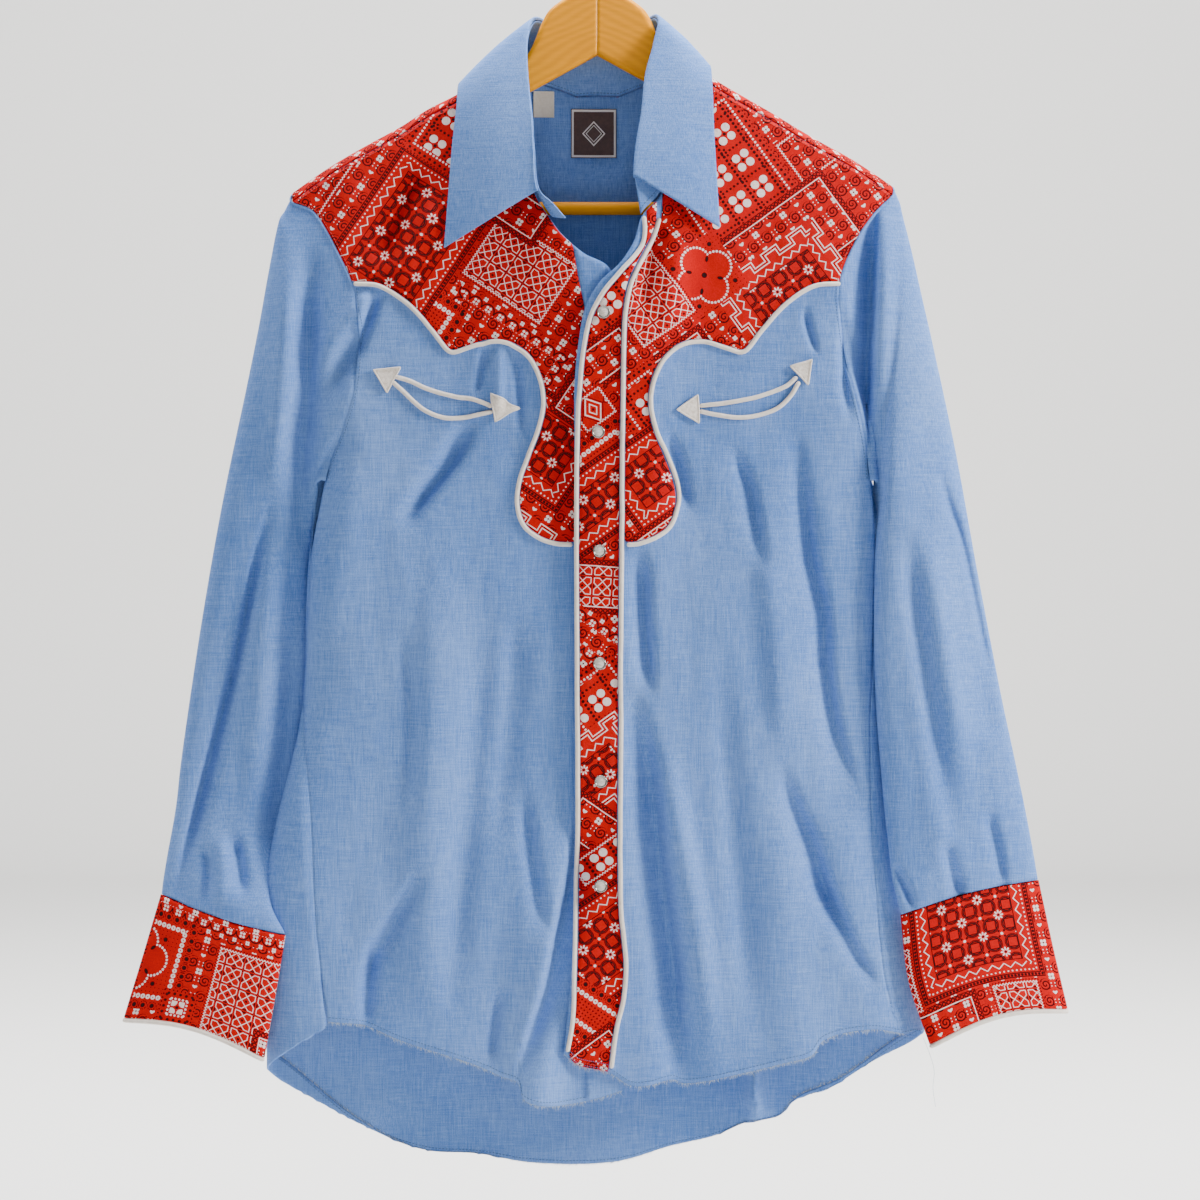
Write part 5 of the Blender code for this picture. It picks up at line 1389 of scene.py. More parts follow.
def bandana_material(name):
    """Red cotton with the quilt of patches that PRINTS gives this piece."""
    made, tree, shader = new_material("bandana_" + name)
    base_turn, patches = PRINTS[name]
    uv = uv_place(tree)
    x, z = (part(tree, uv, axis) * 1000 for axis in (0, 1))
    cos, sin = math.cos(math.radians(base_turn)), math.sin(math.radians(base_turn))
    ground_a, ground_b = x * cos + z * sin, z * cos - x * sin
    sums = None
    for fill, frame_number, cx, cz, turn, half_a, half_b in patches:
        angle = math.radians(base_turn + turn)
        cos, sin = math.cos(angle), math.sin(angle)
        a = x * cos + z * sin - (cx * cos + cz * sin)
        b = z * cos - x * sin - (cz * cos - cx * sin)
        past_a, past_b = abs(a) - half_a, abs(b) - half_b
        d = larger(past_a, past_b)
        sideways = past_a > past_b
        s = sideways.math("MULTIPLY_ADD", b - a, a)
        here = d < max(FRAMES[frame_number][1], 0.01)
        if sums is None:
            zero = ground_a * 0
            sums = [ground_a, ground_b, zero, zero - 1, zero + SCROLLS, zero]
        found = (a, b, s, d, fill, frame_number)
        sums = [here.math("MULTIPLY_ADD", value - old, old) for value, old in zip(found, sums)]
    drawing = tree.nodes.new("ShaderNodeGroup")
    drawing.node_tree = print_drawing()
    for key, value in zip(DRAWING_INPUTS, sums):
        tree.links.new(value.socket, drawing.inputs[key])
    white, black = Value(tree, drawing.outputs["white"]), Value(tree, drawing.outputs["black"])
    place = object_place(tree)
    uneven = grain(tree, place, 60.0, 3.0)
    dark, bright = ([share * c for c in sizes().red] for share in (0.82, 1.15))
    cloth = blend(tree, uneven, (*dark, 1), (*bright, 1))
    cloth = blend(tree, black * 0.97, cloth, (0.008, 0.003, 0.004, 1))
    cloth = blend(tree, white * 0.95, cloth, (0.88, 0.76, 0.72, 1))
    threads = grain(tree, place, 900.0, 1.0)
    cloth = lighten(tree, cloth, threads * 0.5 + 0.78)
    join(tree, cloth, shader.inputs["Base Color"])
    shader.inputs["Roughness"].default_value = 0.75
    shader.inputs["Specular IOR Level"].default_value = 0.08
    wrinkles = grain(tree, place, 45.0, 4.0)
    weave = weave_height(tree, place)
    height_map = wrinkles * 1.4 + threads * 0.25 + weave * 0.12
    join(tree, bump(tree, height_map, 0.0016, 0.55), shader.inputs["Normal"])
    return made


def weave_height(tree, place, pitch=0.75):
    """A plain weave: two sines crossed over each other."""
    x, z = (part(tree, place, axis) * (2000 * math.pi / pitch) for axis in (0, 2))
    return x.math("SINE") * z.math("SINE")


def chambray_material():
    """Blue warp and white weft: pale slubs along both, soft blotches and small rumples."""
    made, tree, shader = new_material("chambray")
    place = object_place(tree)
    warp = grain(tree, place, 1.0, 2.0, (1700, 1700, 55))
    weft = grain(tree, place, 1.0, 2.0, (55, 55, 1700), 7.0)
    fine = grain(tree, place, 1500.0, 1.0)
    blotch = grain(tree, place, 9.0, 3.0)
    slubs = (grain(tree, place, 1.0, 2.0, (90, 90, 1100), 3.0) - 0.62) | 0.0
    share = (warp - 0.5) * 1.6 + (weft - 0.5) * 1.2 + slubs * 2.5 + (fine - 0.5) * 0.9
    share = share + (blotch - 0.5) * 0.7 + 0.42
    blue = tuple(sizes().blue)
    deep = (blue[0] * 0.66, blue[1] * 0.74, blue[2] * 0.86, 1)
    pale = (blue[0] * 1.85, blue[1] * 1.42, blue[2] * 1.18, 1)
    cloth = blend(tree, share, deep, pale)
    join(tree, cloth, shader.inputs["Base Color"])
    shader.inputs["Roughness"].default_value = 0.85
    shader.inputs["Specular IOR Level"].default_value = 0.1
    shader.inputs["Sheen Weight"].default_value = 0.05
    wrinkles = grain(tree, place, 26.0, 4.0, (1.5, 1.0, 0.7))
    weave = weave_height(tree, place, 0.8)
    height_map = wrinkles * 1.6 + warp * 0.22 + weft * 0.22 + weave * 0.1
    join(tree, bump(tree, height_map, 0.0018, 0.6), shader.inputs["Normal"])
    return made


def cord_material(satin=False):
    """Cream cotton cord, its cover creased across; satin stitches lie across an arrowhead."""
    made, tree, shader = new_material("piping_satin" if satin else "piping")
    place = object_place(tree)
    cream = tuple(sizes().cream)
    mottle = grain(tree, place, 420.0 if satin else 260.0, 3.0)
    stains = grain(tree, place, 30.0, 2.0)
    tone = (mottle - 0.5) * (2.4 if satin else 1.0) + (stains - 0.5) * 0.7 + 0.55
    cloth = blend(tree, tone, (cream[0] * 0.72, cream[1] * 0.68, cream[2] * 0.64, 1), (*cream, 1))
    join(tree, cloth, shader.inputs["Base Color"])
    shader.inputs["Roughness"].default_value = 0.7
    threads = grain(tree, place, 1400.0, 1.0)
    join(tree, bump(tree, threads * 0.5 + mottle, 0.0006, 0.7), shader.inputs["Normal"])
    return made


def pearl_material():
    """Pearl plastic in a silver ring, by the distance from the cap's middle."""
    made, tree, shader = new_material("pearl")
    radius = part(tree, uv_place(tree), 0) * 1000
    metal = radius > 3.45
    place = object_place(tree)
    swirl = grain(tree, place, 330.0, 2.0, (1, 1, 2.5))
    pearl = blend(tree, (swirl - 0.3) * 2.0, (0.50, 0.42, 0.34, 1), (0.90, 0.87, 0.83, 1))
    join(tree, blend(tree, metal, pearl, (0.34, 0.32, 0.29, 1)), shader.inputs["Base Color"])
    join(tree, metal * 0.9, shader.inputs["Metallic"])
    join(tree, metal * 0.14 + 0.12, shader.inputs["Roughness"])
    shader.inputs["Coat Weight"].default_value = 0.5
    return made


def label_material(name):
    """Woven cloth: a plain dark field in a pale border, or a plain pale ribbon, both bare of words."""
    made, tree, shader = new_material(name)
    uv = uv_place(tree)
    u, v = part(tree, uv, 0), part(tree, uv, 1)
    ribs = (v * 260.0).math("SINE") * 0.5 + 0.5
    place = object_place(tree)
    uneven = grain(tree, place, 500.0, 2.0)
    if name == "woven":
        edge = larger(abs(u - 0.5), abs(v - 0.5))
        border = edge.near(0.465, 0.022)
        lozenge = abs(u - 0.5) + abs(v - 0.5)
        mark = lozenge.near(0.24, 0.018) | lozenge.near(0.17, 0.01)
        field = blend(tree, uneven, (0.035, 0.014, 0.014, 1), (0.085, 0.035, 0.032, 1))
        cloth = blend(tree, border | mark, field, (0.72, 0.68, 0.66, 1))
    else:
        cloth = blend(tree, uneven, (0.80, 0.73, 0.58, 1), (0.98, 0.93, 0.82, 1))
    join(tree, lighten(tree, cloth, ribs * 0.15 + 0.88), shader.inputs["Base Color"])
    shader.inputs["Roughness"].default_value = 0.65
    join(tree, bump(tree, ribs + uneven, 0.0003, 0.8), shader.inputs["Normal"])
    return made


def wood_material(name):
    """Varnished pale wood: grain lines along the arm, drawn out noise bent by a slower one."""
    made, tree, shader = new_material(name)
    place = object_place(tree)
    slow = grain(tree, place, 9.0, 2.0, (0.5, 1, 2.2))
    height_z, out_x = part(tree, place, 2), abs(part(tree, place, 0))
    along_arm = height_z + out_x * (0.55 if name == "wood" else 0.0)
    lines = (along_arm * 900.0 + slow * 22.0).math("SINE") * 0.5 + 0.5
    pores = grain(tree, place, 1.0, 2.0, (60, 500, 500))
    tone = lines * 0.35 + pores * 0.5 + slow * 0.3 - 0.1
    honey = tuple(sizes().wood)
    dark = (honey[0] * 0.72, honey[1] * 0.62, honey[2] * 0.5, 1)
    join(tree, blend(tree, tone, dark, (*honey, 1)), shader.inputs["Base Color"])
    join(tree, pores * 0.2 + (0.22 if name == "wood" else 0.4), shader.inputs["Roughness"])
    shader.inputs["Coat Weight"].default_value = 0.04 if name == "wood" else 0.02
    shader.inputs["Specular IOR Level"].default_value = 0.1
    join(tree, bump(tree, lines * 0.3 + pores, 0.0002, 0.5), shader.inputs["Normal"])
    return made


def steel_material():
    """Plated wire with fine scratches along it."""
    made, tree, shader = new_material("steel")
    place = object_place(tree)
    scratches = grain(tree, place, 700.0, 2.0)
    metal = blend(tree, scratches, (0.52, 0.52, 0.54, 1), (0.75, 0.75, 0.77, 1))
    join(tree, metal, shader.inputs["Base Color"])
    join(tree, scratches * 0.25 + 0.15, shader.inputs["Roughness"])
    shader.inputs["Metallic"].default_value = 1.0
    return made


def thread_material(name, colour):
    """Sewing thread, twisted: fine stripes of light and dark."""
    made, tree, shader = new_material(name)
    place = object_place(tree)
    twist = grain(tree, place, 1600.0, 1.0)
    dark = tuple(0.7 * c for c in colour)
    join(tree, blend(tree, twist, (*dark, 1), (*colour, 1)), shader.inputs["Base Color"])
    shader.inputs["Roughness"].default_value = 0.7
    return made


THREADS = {
    "bandana_thread": (0.62, 0.03, 0.03),
    "bandana_fray": (0.80, 0.42, 0.42),
    "chambray_thread": (0.075, 0.16, 0.36),
    "chambray_fray": (0.55, 0.66, 0.82),
}


def material(name):
    """The material of that name, made on its first use."""
    found = bpy.data.materials.get("mat_" + name)
    if found:
        return found
    if name in THREADS:
        return thread_material(name, THREADS[name])
    if name.startswith("bandana"):
        return bandana_material(name.split("_")[1])
    if name.startswith("piping"):
        return cord_material(name.endswith("satin"))
    return {
        "chambray": chambray_material,
        "pearl": pearl_material,
        "woven": lambda: label_material("woven"),
        "label": lambda: label_material("label"),
        "wood": lambda: wood_material("wood"),
        "dowel": lambda: wood_material("dowel"),
        "steel": steel_material,
    }[name]()


# ---------------------------------------------------------------- pieces

def collection(name):
    """The collection of that name, made on its first use."""
    found = bpy.data.collections.get(name)
    if not found:
        found = bpy.data.collections.new(name)
        bpy.context.scene.collection.children.link(found)
    return found


def add_piece(name, mesh, slot, nodes=(), thickness=0.0):
    """Puts a piece in the scene on the only body, in place of its solids."""
    obj = bpy.data.objects.new(name, mesh)
    collection("shirt").objects.link(obj)
    mesh.materials.append(material(slot))
    if thickness:
        solid = obj.modifiers.new("wall", "SOLIDIFY")
        solid.thickness = thickness * MM
        solid.offset = 1.0
        solid.use_even_offset = False
    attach(obj, "root")
    if nodes:
        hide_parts(*nodes)
    return obj


def sizes():
    """The sizes and colours that a user may change."""
    return bpy.context.scene.shirt


def wall():
    """The cloth's thickness in millimetres."""
    return sizes().wall / MM


def shell(name, points, slot, thickness, closed=False):
    """A grid of cloth as the piece in place of its solid, with its area, width and length."""
    mesh = grid_mesh(name, points, cloth_uv(points, closed), closed)
    return add_piece(name + "_cloth", mesh, slot, (name,), thickness), *cloth_area(points, closed)


def sew(name, path, facing, slot, lift, pitch=None):
    """A row of stitches on a piece's outer face."""
    path = path + lift * facing
    pitch = pitch or sizes().stitch / MM
    add_piece(name + "_stitches", stitch_mesh(name, path, facing, pitch), slot)


def fringe(name, points, seed):
    """The frayed last row of a grid of cloth."""
    edge = points[-1] + 0.4 * grid_normals(points)[-1]
    down = unit(points[-1] - points[-2])
    mesh = fringe_mesh(name, edge - 0.3 * down, down, FRINGE_SPACING, sizes().fray / MM, FRINGE_RADIUS, seed)
    add_piece(name + "_fringe", mesh, "chambray_fray")


def panels():
    """The two fronts and the back."""
    for name, side in (("front_right", -1), ("front_left", 1)):
        t = row_numbers((side_rows(side),), 240)
        points = front_points(side, t, 108)[:, ::side]
        piece, area, wide, long = shell(name, points, "chambray", wall())
        fringe(name, points, seed=side + 3)
        sew(name + "_hem", *inset_row(points, HEM_INSET), "chambray_thread", wall())
    t = row_numbers((side_rows(-1), side_rows(1)), 210)
    points = back_points(t, 190)[:, ::-1]
    piece, area, wide, long = shell("back", points, "chambray", wall())
    fringe("back", points, seed=7)
    path, facing = inset_row(points, HEM_INSET)
    sew("back_hem_inside", path, -facing, "chambray_thread", 0.0)
    sew("back_hem", path, facing, "chambray_thread", wall())
    add_piece("loose_thread", tube_mesh("loose_thread", spline(LOOSE_THREAD, 1.5), 0.16, 5), "chambray_fray")


def on_front(side, plan, layer):
    """A path on a front's outer face, and the way that it faces."""
    place = front_place(side, plan, layer)
    return place, unit(front_place(side, plan, layer + 1) - place)


def front_edges(side):
    """A front's neck and centre edge, its armhole and side edge, and its hem, as fine paths."""
    edges = read_at(side_rows(side), np.linspace(0, LAST_ROW, 400))
    low_x = np.linspace(edges[-1, 0], edges[-1, 2], 120)
    hem = np.column_stack([low_x, height(HEM_RIGHT if side < 0 else HEM_LEFT, low_x)])
    return edges[:, :2], edges[:, 2:], hem


def front_yoke_outline(side):
    """Round a front yoke: its scalloped edge, the centre, the neck, the shoulder seam and the armhole."""
    neck, armhole, _ = front_edges(side)
    scallops = [(side * x, z) for x, z in YOKE_EDGE + ((-8, -504),)]
    edge = shifted(spline(scallops, 1.5), -side * PLACKET_INSET)
    if side < 0:
        centre = spline([(-26, -236)] + list(BAND_EDGE), 1.5)
    else:
        centre = shifted(spline([(47, -226)] + list(PLACKET_OUTER), 1.5), PLACKET_INSET)
    neck = neck + (side * EDGE_INSET, 0)
    armhole = armhole - (side * EDGE_INSET, 0)
    top_x = np.linspace(neck[0, 0], armhole[0, 0], 60)
    top = np.column_stack([top_x, seam_z(top_x) - EDGE_INSET])
    edge = np.vstack([[side * 200.0, edge[0, 1]], edge])
    armhole_at, edge_start = crossing(armhole, edge)
    edge_stop, centre_low = crossing(edge, centre)
    centre_top, neck_at = crossing(centre, neck)
    return np.vstack([
        part_of(edge, edge_start, edge_stop)[:-1],
        part_of(centre, centre_low, centre_top)[:-1],
        part_of(neck, neck_at, 0)[:-1],
        top[:-1],
        part_of(armhole, 0, armhole_at)[:-1],
    ])


def orient(outline):
    """The outline anticlockwise, seen from the front."""
    x, z = outline.T
    area = (x * np.roll(z, -1) - z * np.roll(x, -1)).sum()
    return outline if area > 0 else outline[::-1]


def patch(name, outline, side, slot, spacing):
    """Cloth cut to an outline and laid on a front. Its flat size allows 6 % for the slope."""
    mesh, area, size = cut_mesh(name, orient(outline), lambda plan: front_place(side, plan, LAYER), spacing)
    piece = add_piece(name + "_cloth", mesh, slot, (name,), wall())
    size = size * 1.06
    min(area, size[0] * size[1])


def yokes():
    """The front yokes, the back yoke and the seams beside them."""
    for name, side in (("right", -1), ("left", 1)):
        yoke = "yoke_front_" + name
        patch(yoke, front_yoke_outline(side), side, "bandana_" + name, 2.4)
        neck, armhole, _ = front_edges(side)
        top_x = np.linspace(neck[0, 0] + side * 3, armhole[0, 0] - side * 3, 60)
        shoulder = np.column_stack([top_x, seam_z(top_x) - 2.4])
        sew(yoke + "_shoulder", *on_front(side, shoulder, LAYER), "bandana_thread", wall())
        down = armhole[:220] - (side * 2.2, 0)
        high = down[:, 1] > YOKE_EDGE[0][1]
        sew(yoke + "_armhole", *on_front(side, down[high], LAYER), "bandana_thread", wall())
        sew(f"front_{name}_armhole", *on_front(side, down[~high], 0.0), "chambray_thread", wall())
    t = row_numbers((side_rows(-1), side_rows(1)), 420)
    points = back_points(t, 170, 24)
    edge = spline(BACK_YOKE_EDGE, 1.5)[::-1]
    limit = np.interp(np.abs(points[..., 0]), edge[:, 0], edge[:, 1]) + PLACKET_INSET
    rows = []
    for j in range(points.shape[1]):
        column = points[:, j]
        stop = int(np.argmax((column[:, 2] < limit[:, j]) & (column[:, 1] > 0)))
        rows.append(resampled(column[: stop + 1], 84))
    yoke = np.stack(rows, axis=1)[:, ::-1]
    yoke = yoke + LAYER * grid_normals(yoke)
    piece, area, wide, long = shell("yoke_back", yoke, "bandana_back", wall())


def placket():
    """The placket with its overlocked raw end, and the band under it."""
    neck, _, hem = front_edges(1)
    inner = shifted(spline([(35, -240)] + list(PLACKET_INNER) + [(-24.5, -900)], 1.5), PLACKET_INSET)
    outer = shifted(spline([(47, -226)] + list(PLACKET_OUTER) + [(10, -915)], 1.5), -PLACKET_INSET)
    neck = neck + (EDGE_INSET, 0)
    hem = hem + (0, EDGE_INSET)
    inner_top, neck_low = crossing(inner, neck)
    outer_top, neck_high = crossing(outer, neck)
    inner_low, hem_first = crossing(inner, hem)
    outer_low, hem_last = crossing(outer, hem)
    outline = np.vstack([
        part_of(inner, inner_top, inner_low)[:-1],
        part_of(hem, hem_first, hem_last)[:-1],
        part_of(outer, outer_low, outer_top)[:-1],
        part_of(neck, neck_high, neck_low)[:-1],
    ])
    patch("placket", outline, 1, "bandana_placket", 2.4)
    low = part_of(hem, hem_first, hem_last)
    place, facing = on_front(1, resampled(low, 60), LAYER)
    down = np.tile([0.0, 0.0, -1.0], (60, 1))
    mesh = fringe_mesh("placket_overlock", place + 0.4 * facing, down, 0.4, 3.0, 0.13, 21)
    add_piece("placket_overlock_fringe", mesh, "bandana_fray")
    for row, drop in enumerate((1.2, 3.0, 5.4)):
        path, facing = on_front(1, resampled(low + (0, drop), 60), LAYER)
        thread = "bandana_thread" if row == 1 else "chambray_thread"
        sew(f"placket_overlock_{row}", path, facing, thread, wall(), 1.5)
    neck, _, hem = front_edges(-1)
    band = spline([(-22, -240)] + list(BAND_EDGE) + [(-9, -940)], 3) + (0.8, 0)
    neck = neck - (EDGE_INSET, 0)
    hem = hem + (0, EDGE_INSET)
    band_top, neck_at = crossing(band, neck)
    band_low, hem_at = crossing(band, hem)
    outline = np.vstack([
        part_of(band, band_top, band_low)[:-1],
        part_of(hem, hem_at, 0)[:-1],
        part_of(neck, len(neck) - 1, neck_at)[:-1],
    ])
    patch("underlap_band", outline, -1, "chambray", 3.5)


def cord():
    """The piping's radius in millimetres."""
    return sizes().cord / MM


def cord_on_front(name, plan, side):
    """Piping laid along a path on a front."""
    points = front_place(side, np.asarray(plan), CORD_LAYER)
    add_piece(name + "_cord", tube_mesh(name, points, cord()), "piping", (name,))


def trim():
    """Piping, welts and arrowheads."""
    edge = spline(YOKE_EDGE, 2.0)
    mirror = edge * (-1, 1)
    cord_on_front("piping_yoke_right", mirror[(mirror[:, 0] < -19) & (mirror[:, 0] > -184)], -1)
    cord_on_front("piping_yoke_left", edge[(edge[:, 0] > 24) & (edge[:, 0] < 185)], 1)
    cord_on_front("piping_placket_inner", spline(PLACKET_INNER, 3.0), 1)
    cord_on_front("piping_placket_outer", spline(PLACKET_OUTER, 3.0), 1)
    back = spline(BACK_YOKE_EDGE, 2.0)
    whole = np.vstack([back, back[-2::-1] * (-1, 1)])
    whole = whole[np.abs(whole[:, 0]) < 184]
    y = back_y(whole[:, 0], whole[:, 1]) + CORD_LAYER
    mesh = tube_mesh("piping_yoke_back", np.column_stack([whole[:, 0], y, whole[:, 1]]), cord())
    add_piece("piping_yoke_back_cord", mesh, "piping", ("piping_yoke_back",))
    for name, side in (("right", -1), ("left", 1)):
        parts = POCKETS[name]
        for which in ("upper", "lower"):
            cord_on_front(f"pocket_{name}_welt_{which}", spline(parts[which], 2.0), side)
        for which in ("outer", "inner"):
            arrow = f"arrow_{name}_{which}"
            corners = np.array(parts[which + "_arrow"], float)
            outline = np.vstack([corners, corners[:1]])
            mesh, _, _ = cut_mesh(arrow, orient(resampled(outline, 60)[:-1]),
                                  lambda plan, s=side: front_place(s, plan, 1.2), 1.4)
            add_piece(arrow + "_stitched", mesh, "piping_satin", (arrow,), ARROW_WALL)
            rim = front_place(side, resampled(outline, 90)[:-1], 3.2)
            add_piece(arrow + "_rim", tube_mesh(arrow + "_rim", rim, 0.7, 8, closed=True), "piping")


# ---------------------------------------------------------------- sleeves and cuffs

def section(row, angles, bow=0.0):
    """A flattened ring: from the outer edge along the front to the inner edge, and back behind."""
    outer_x, outer_z, outer_y, inner_x, inner_z, inner_y, half = row[:7]
    share = (1 - np.cos(angles)) / 2
    bulge = np.sign(np.sin(angles)) * np.abs(np.sin(angles)) ** 0.85
    return np.column_stack([
        outer_x + share * (inner_x - outer_x),
        outer_y + share * (inner_y - outer_y) - half * bulge,
        outer_z + share * (inner_z - outer_z) + bow * np.sin(math.pi * share),
    ])


def ring_angles():
    """Where the columns of a sleeve or a cuff lie round it."""
    return np.radians(RING_START) + np.linspace(0, 2 * math.pi, SLEEVE_SIDES, endpoint=False)


def armhole_ring(side, angles):
    """The armhole's edges, front and back, moved off the panels by a seam, and the way off them."""
    t = np.arange(UNDERARM_ROW + 1.0)
    front = front_points(side, t, 2)[:, -1]
    back = back_points(np.linspace(0, LAST_ROW, LAST_ROW + 1), 22, 4)
    up = back[4 : 4 + UNDERARM_ROW, 0 if side < 0 else -1][::-1]
    top = back[2, 0 if side < 0 else -1]
    tangent = unit(np.gradient(front[:, [0, 2]], axis=0))
    away = -side * np.column_stack([tangent[:, 1], np.zeros(len(front)), -tangent[:, 0]])
    away *= np.linspace(1, 1.8, len(front))[:, None]
    away = np.vstack([away, away[:UNDERARM_ROW][::-1], away[:1]])
    ring = np.vstack([front, up, top]) + ARMHOLE_SEAM * away
    place = np.degrees(angles) / RING_START - 1
    looped = np.concatenate([ring[-2:], ring, ring[:2]])
    looped_away = np.concatenate([away[-2:], away, away[:2]])
    return read_at(looped, place % 24 + 2), read_at(looped_away, place % 24 + 2)


def sleeve(side):
    """Rings from the armhole to the cuff, read in between, with folds on the front half."""
    name = "right" if side < 0 else "left"
    table, cuff_table = (SLEEVE_RIGHT, CUFF_RIGHT) if side < 0 else (SLEEVE_LEFT, CUFF_LEFT)
    folds = SLEEVE_FOLDS_RIGHT if side < 0 else SLEEVE_FOLDS_LEFT
    angles = ring_angles()
    armhole, away = armhole_ring(side, angles)
    rings = [armhole]
    for index, row in enumerate(table):
        bow = cuff_table[0][7] * max(0, 1 - (len(table) - 1 - index) / 3)
        rings.append(section(row, angles, bow))
    rings[1:1] = [rings[0] + away * 2.0, 0.55 * rings[0] + 0.45 * rings[1] + away * 3.0]
    run = unit(np.roll(armhole, -1, axis=0) - np.roll(armhole, 1, axis=0))
    inward = unit(np.cross(run, away))
    if ((armhole.mean(axis=0) - armhole) * inward).sum() < 0:
        inward = -inward
    over_yoke = LAYER * smooth_step((armhole[:, 2:] - YOKE_EDGE[0][1]) / 6 + 0.5)
    rings[:1] = [armhole - over_yoke * inward, armhole + 0.4 * away - over_yoke * inward,
                 armhole + away - over_yoke * inward]
    rings = np.array(rings)
    numbers = np.linspace(2, len(rings) - 1, 400)
    down = lengths(read_at(rings, numbers).mean(axis=1))
    numbers = np.interp(np.linspace(0, down[-1], SLEEVE_ROWS), down, numbers)
    numbers = np.concatenate([np.linspace(0, 2, 9)[:-1], numbers])
    points = read_at(rings, numbers)
    x, z = points[..., 0].copy(), points[..., 2].copy()
    high = smooth_step((numbers - 2) / 1.5)[:, None]
    front = np.maximum(np.sin(angles), 0)[None]
    fine = creases(CREASES_SLEEVE_RIGHT if side < 0 else CREASES_SLEEVE_LEFT, x, z)
    worn = rumple(x, z, 17) * np.sin(angles)[None] * high
    points[..., 1] -= (relief(folds, x, z) + fine * high) * front + worn
    points = points if side < 0 else points[:, ::-1]
    piece, area, wide, long = shell("sleeve_" + name, points, "chambray", wall(), closed=True)


def cuff(side):
    """Three rings, read in between, with piping round the last."""
    name = "right" if side < 0 else "left"
    table = CUFF_RIGHT if side < 0 else CUFF_LEFT
    angles = ring_angles()
    rings = np.array([section(row, angles, row[7]) for row in table])
    down = unit(rings[-1] - rings[0])
    rings[0] += CUFF_SEAM * down
    points = read_at(rings, np.linspace(0, 2, 40))
    points = points if side < 0 else points[:, ::-1]
    piece, area, wide, long = shell("cuff_" + name, points, "bandana_cuff" + name, CUFF_WALL, closed=True)
    out = np.column_stack([np.zeros(len(angles)), -np.sin(angles), np.zeros(len(angles))])
    edge = rings[-1] + 2.0 * down + 0.6 * out
    add_piece(f"piping_cuff_{name}_cord", tube_mesh("piping_cuff_" + name, edge, cord(), closed=True),
              "piping", ("piping_cuff_" + name,))


def sleeves_and_cuffs():
    for side in (-1, 1):
        sleeve(side)
        cuff(side)


# ---------------------------------------------------------------- collar

def neck_ring():
    """The neck seam from the right front round the back to the left front, moved off the panels."""
    down = np.linspace(0, STAND_ROW, STAND_ROW * COLLAR_STEPS + 1)
    right = front_points(-1, down[::-1], 2)[:, 0]
    left = front_points(1, down, 2)[:, 0]
    columns = (len(BACK_COLUMNS) - 1) * COLLAR_STEPS + 1
    back = back_points(np.linspace(0, LAST_ROW, LAST_ROW + 1), columns, 4)[0]
    back = back[NECK_COLUMNS[0] * COLLAR_STEPS : NECK_COLUMNS[1] * COLLAR_STEPS + 1]
    ring = np.vstack([right, back, left])
    inward = np.array([0.0, 0.0, -195.0]) - ring
    inward[:, 1] = 0.0
    inward = unit(inward)
    forward = smooth_step(-ring[:, 1] / 25)[:, None]
    lift = np.array([0.0, 0.0, 1.0]) * (1 - forward) + inward * forward
    return ring + lift * (NECK_SEAM + 1.2 * forward), len(right), len(right) + len(back)


def runs(path, cuts, counts):
    """A path resampled run by run, so that two paths match at their cuts."""
    marks = [0, *cuts, len(path) - 1]
    parts = []
    for a, b, count in zip(marks, marks[1:], counts):
        parts.append(resampled(path[a : b + 1], count)[(1 if parts else 0) :])
    return np.vstack(parts)


def smoothed(rows, times):
    """Rows of points, each averaged with its neighbours in the row."""
    for _ in range(times):
        inner = 0.25 * rows[:-2] + 0.5 * rows[1:-1] + 0.25 * rows[2:]
        rows = np.vstack([rows[:1], inner, rows[-1:]])
    return rows


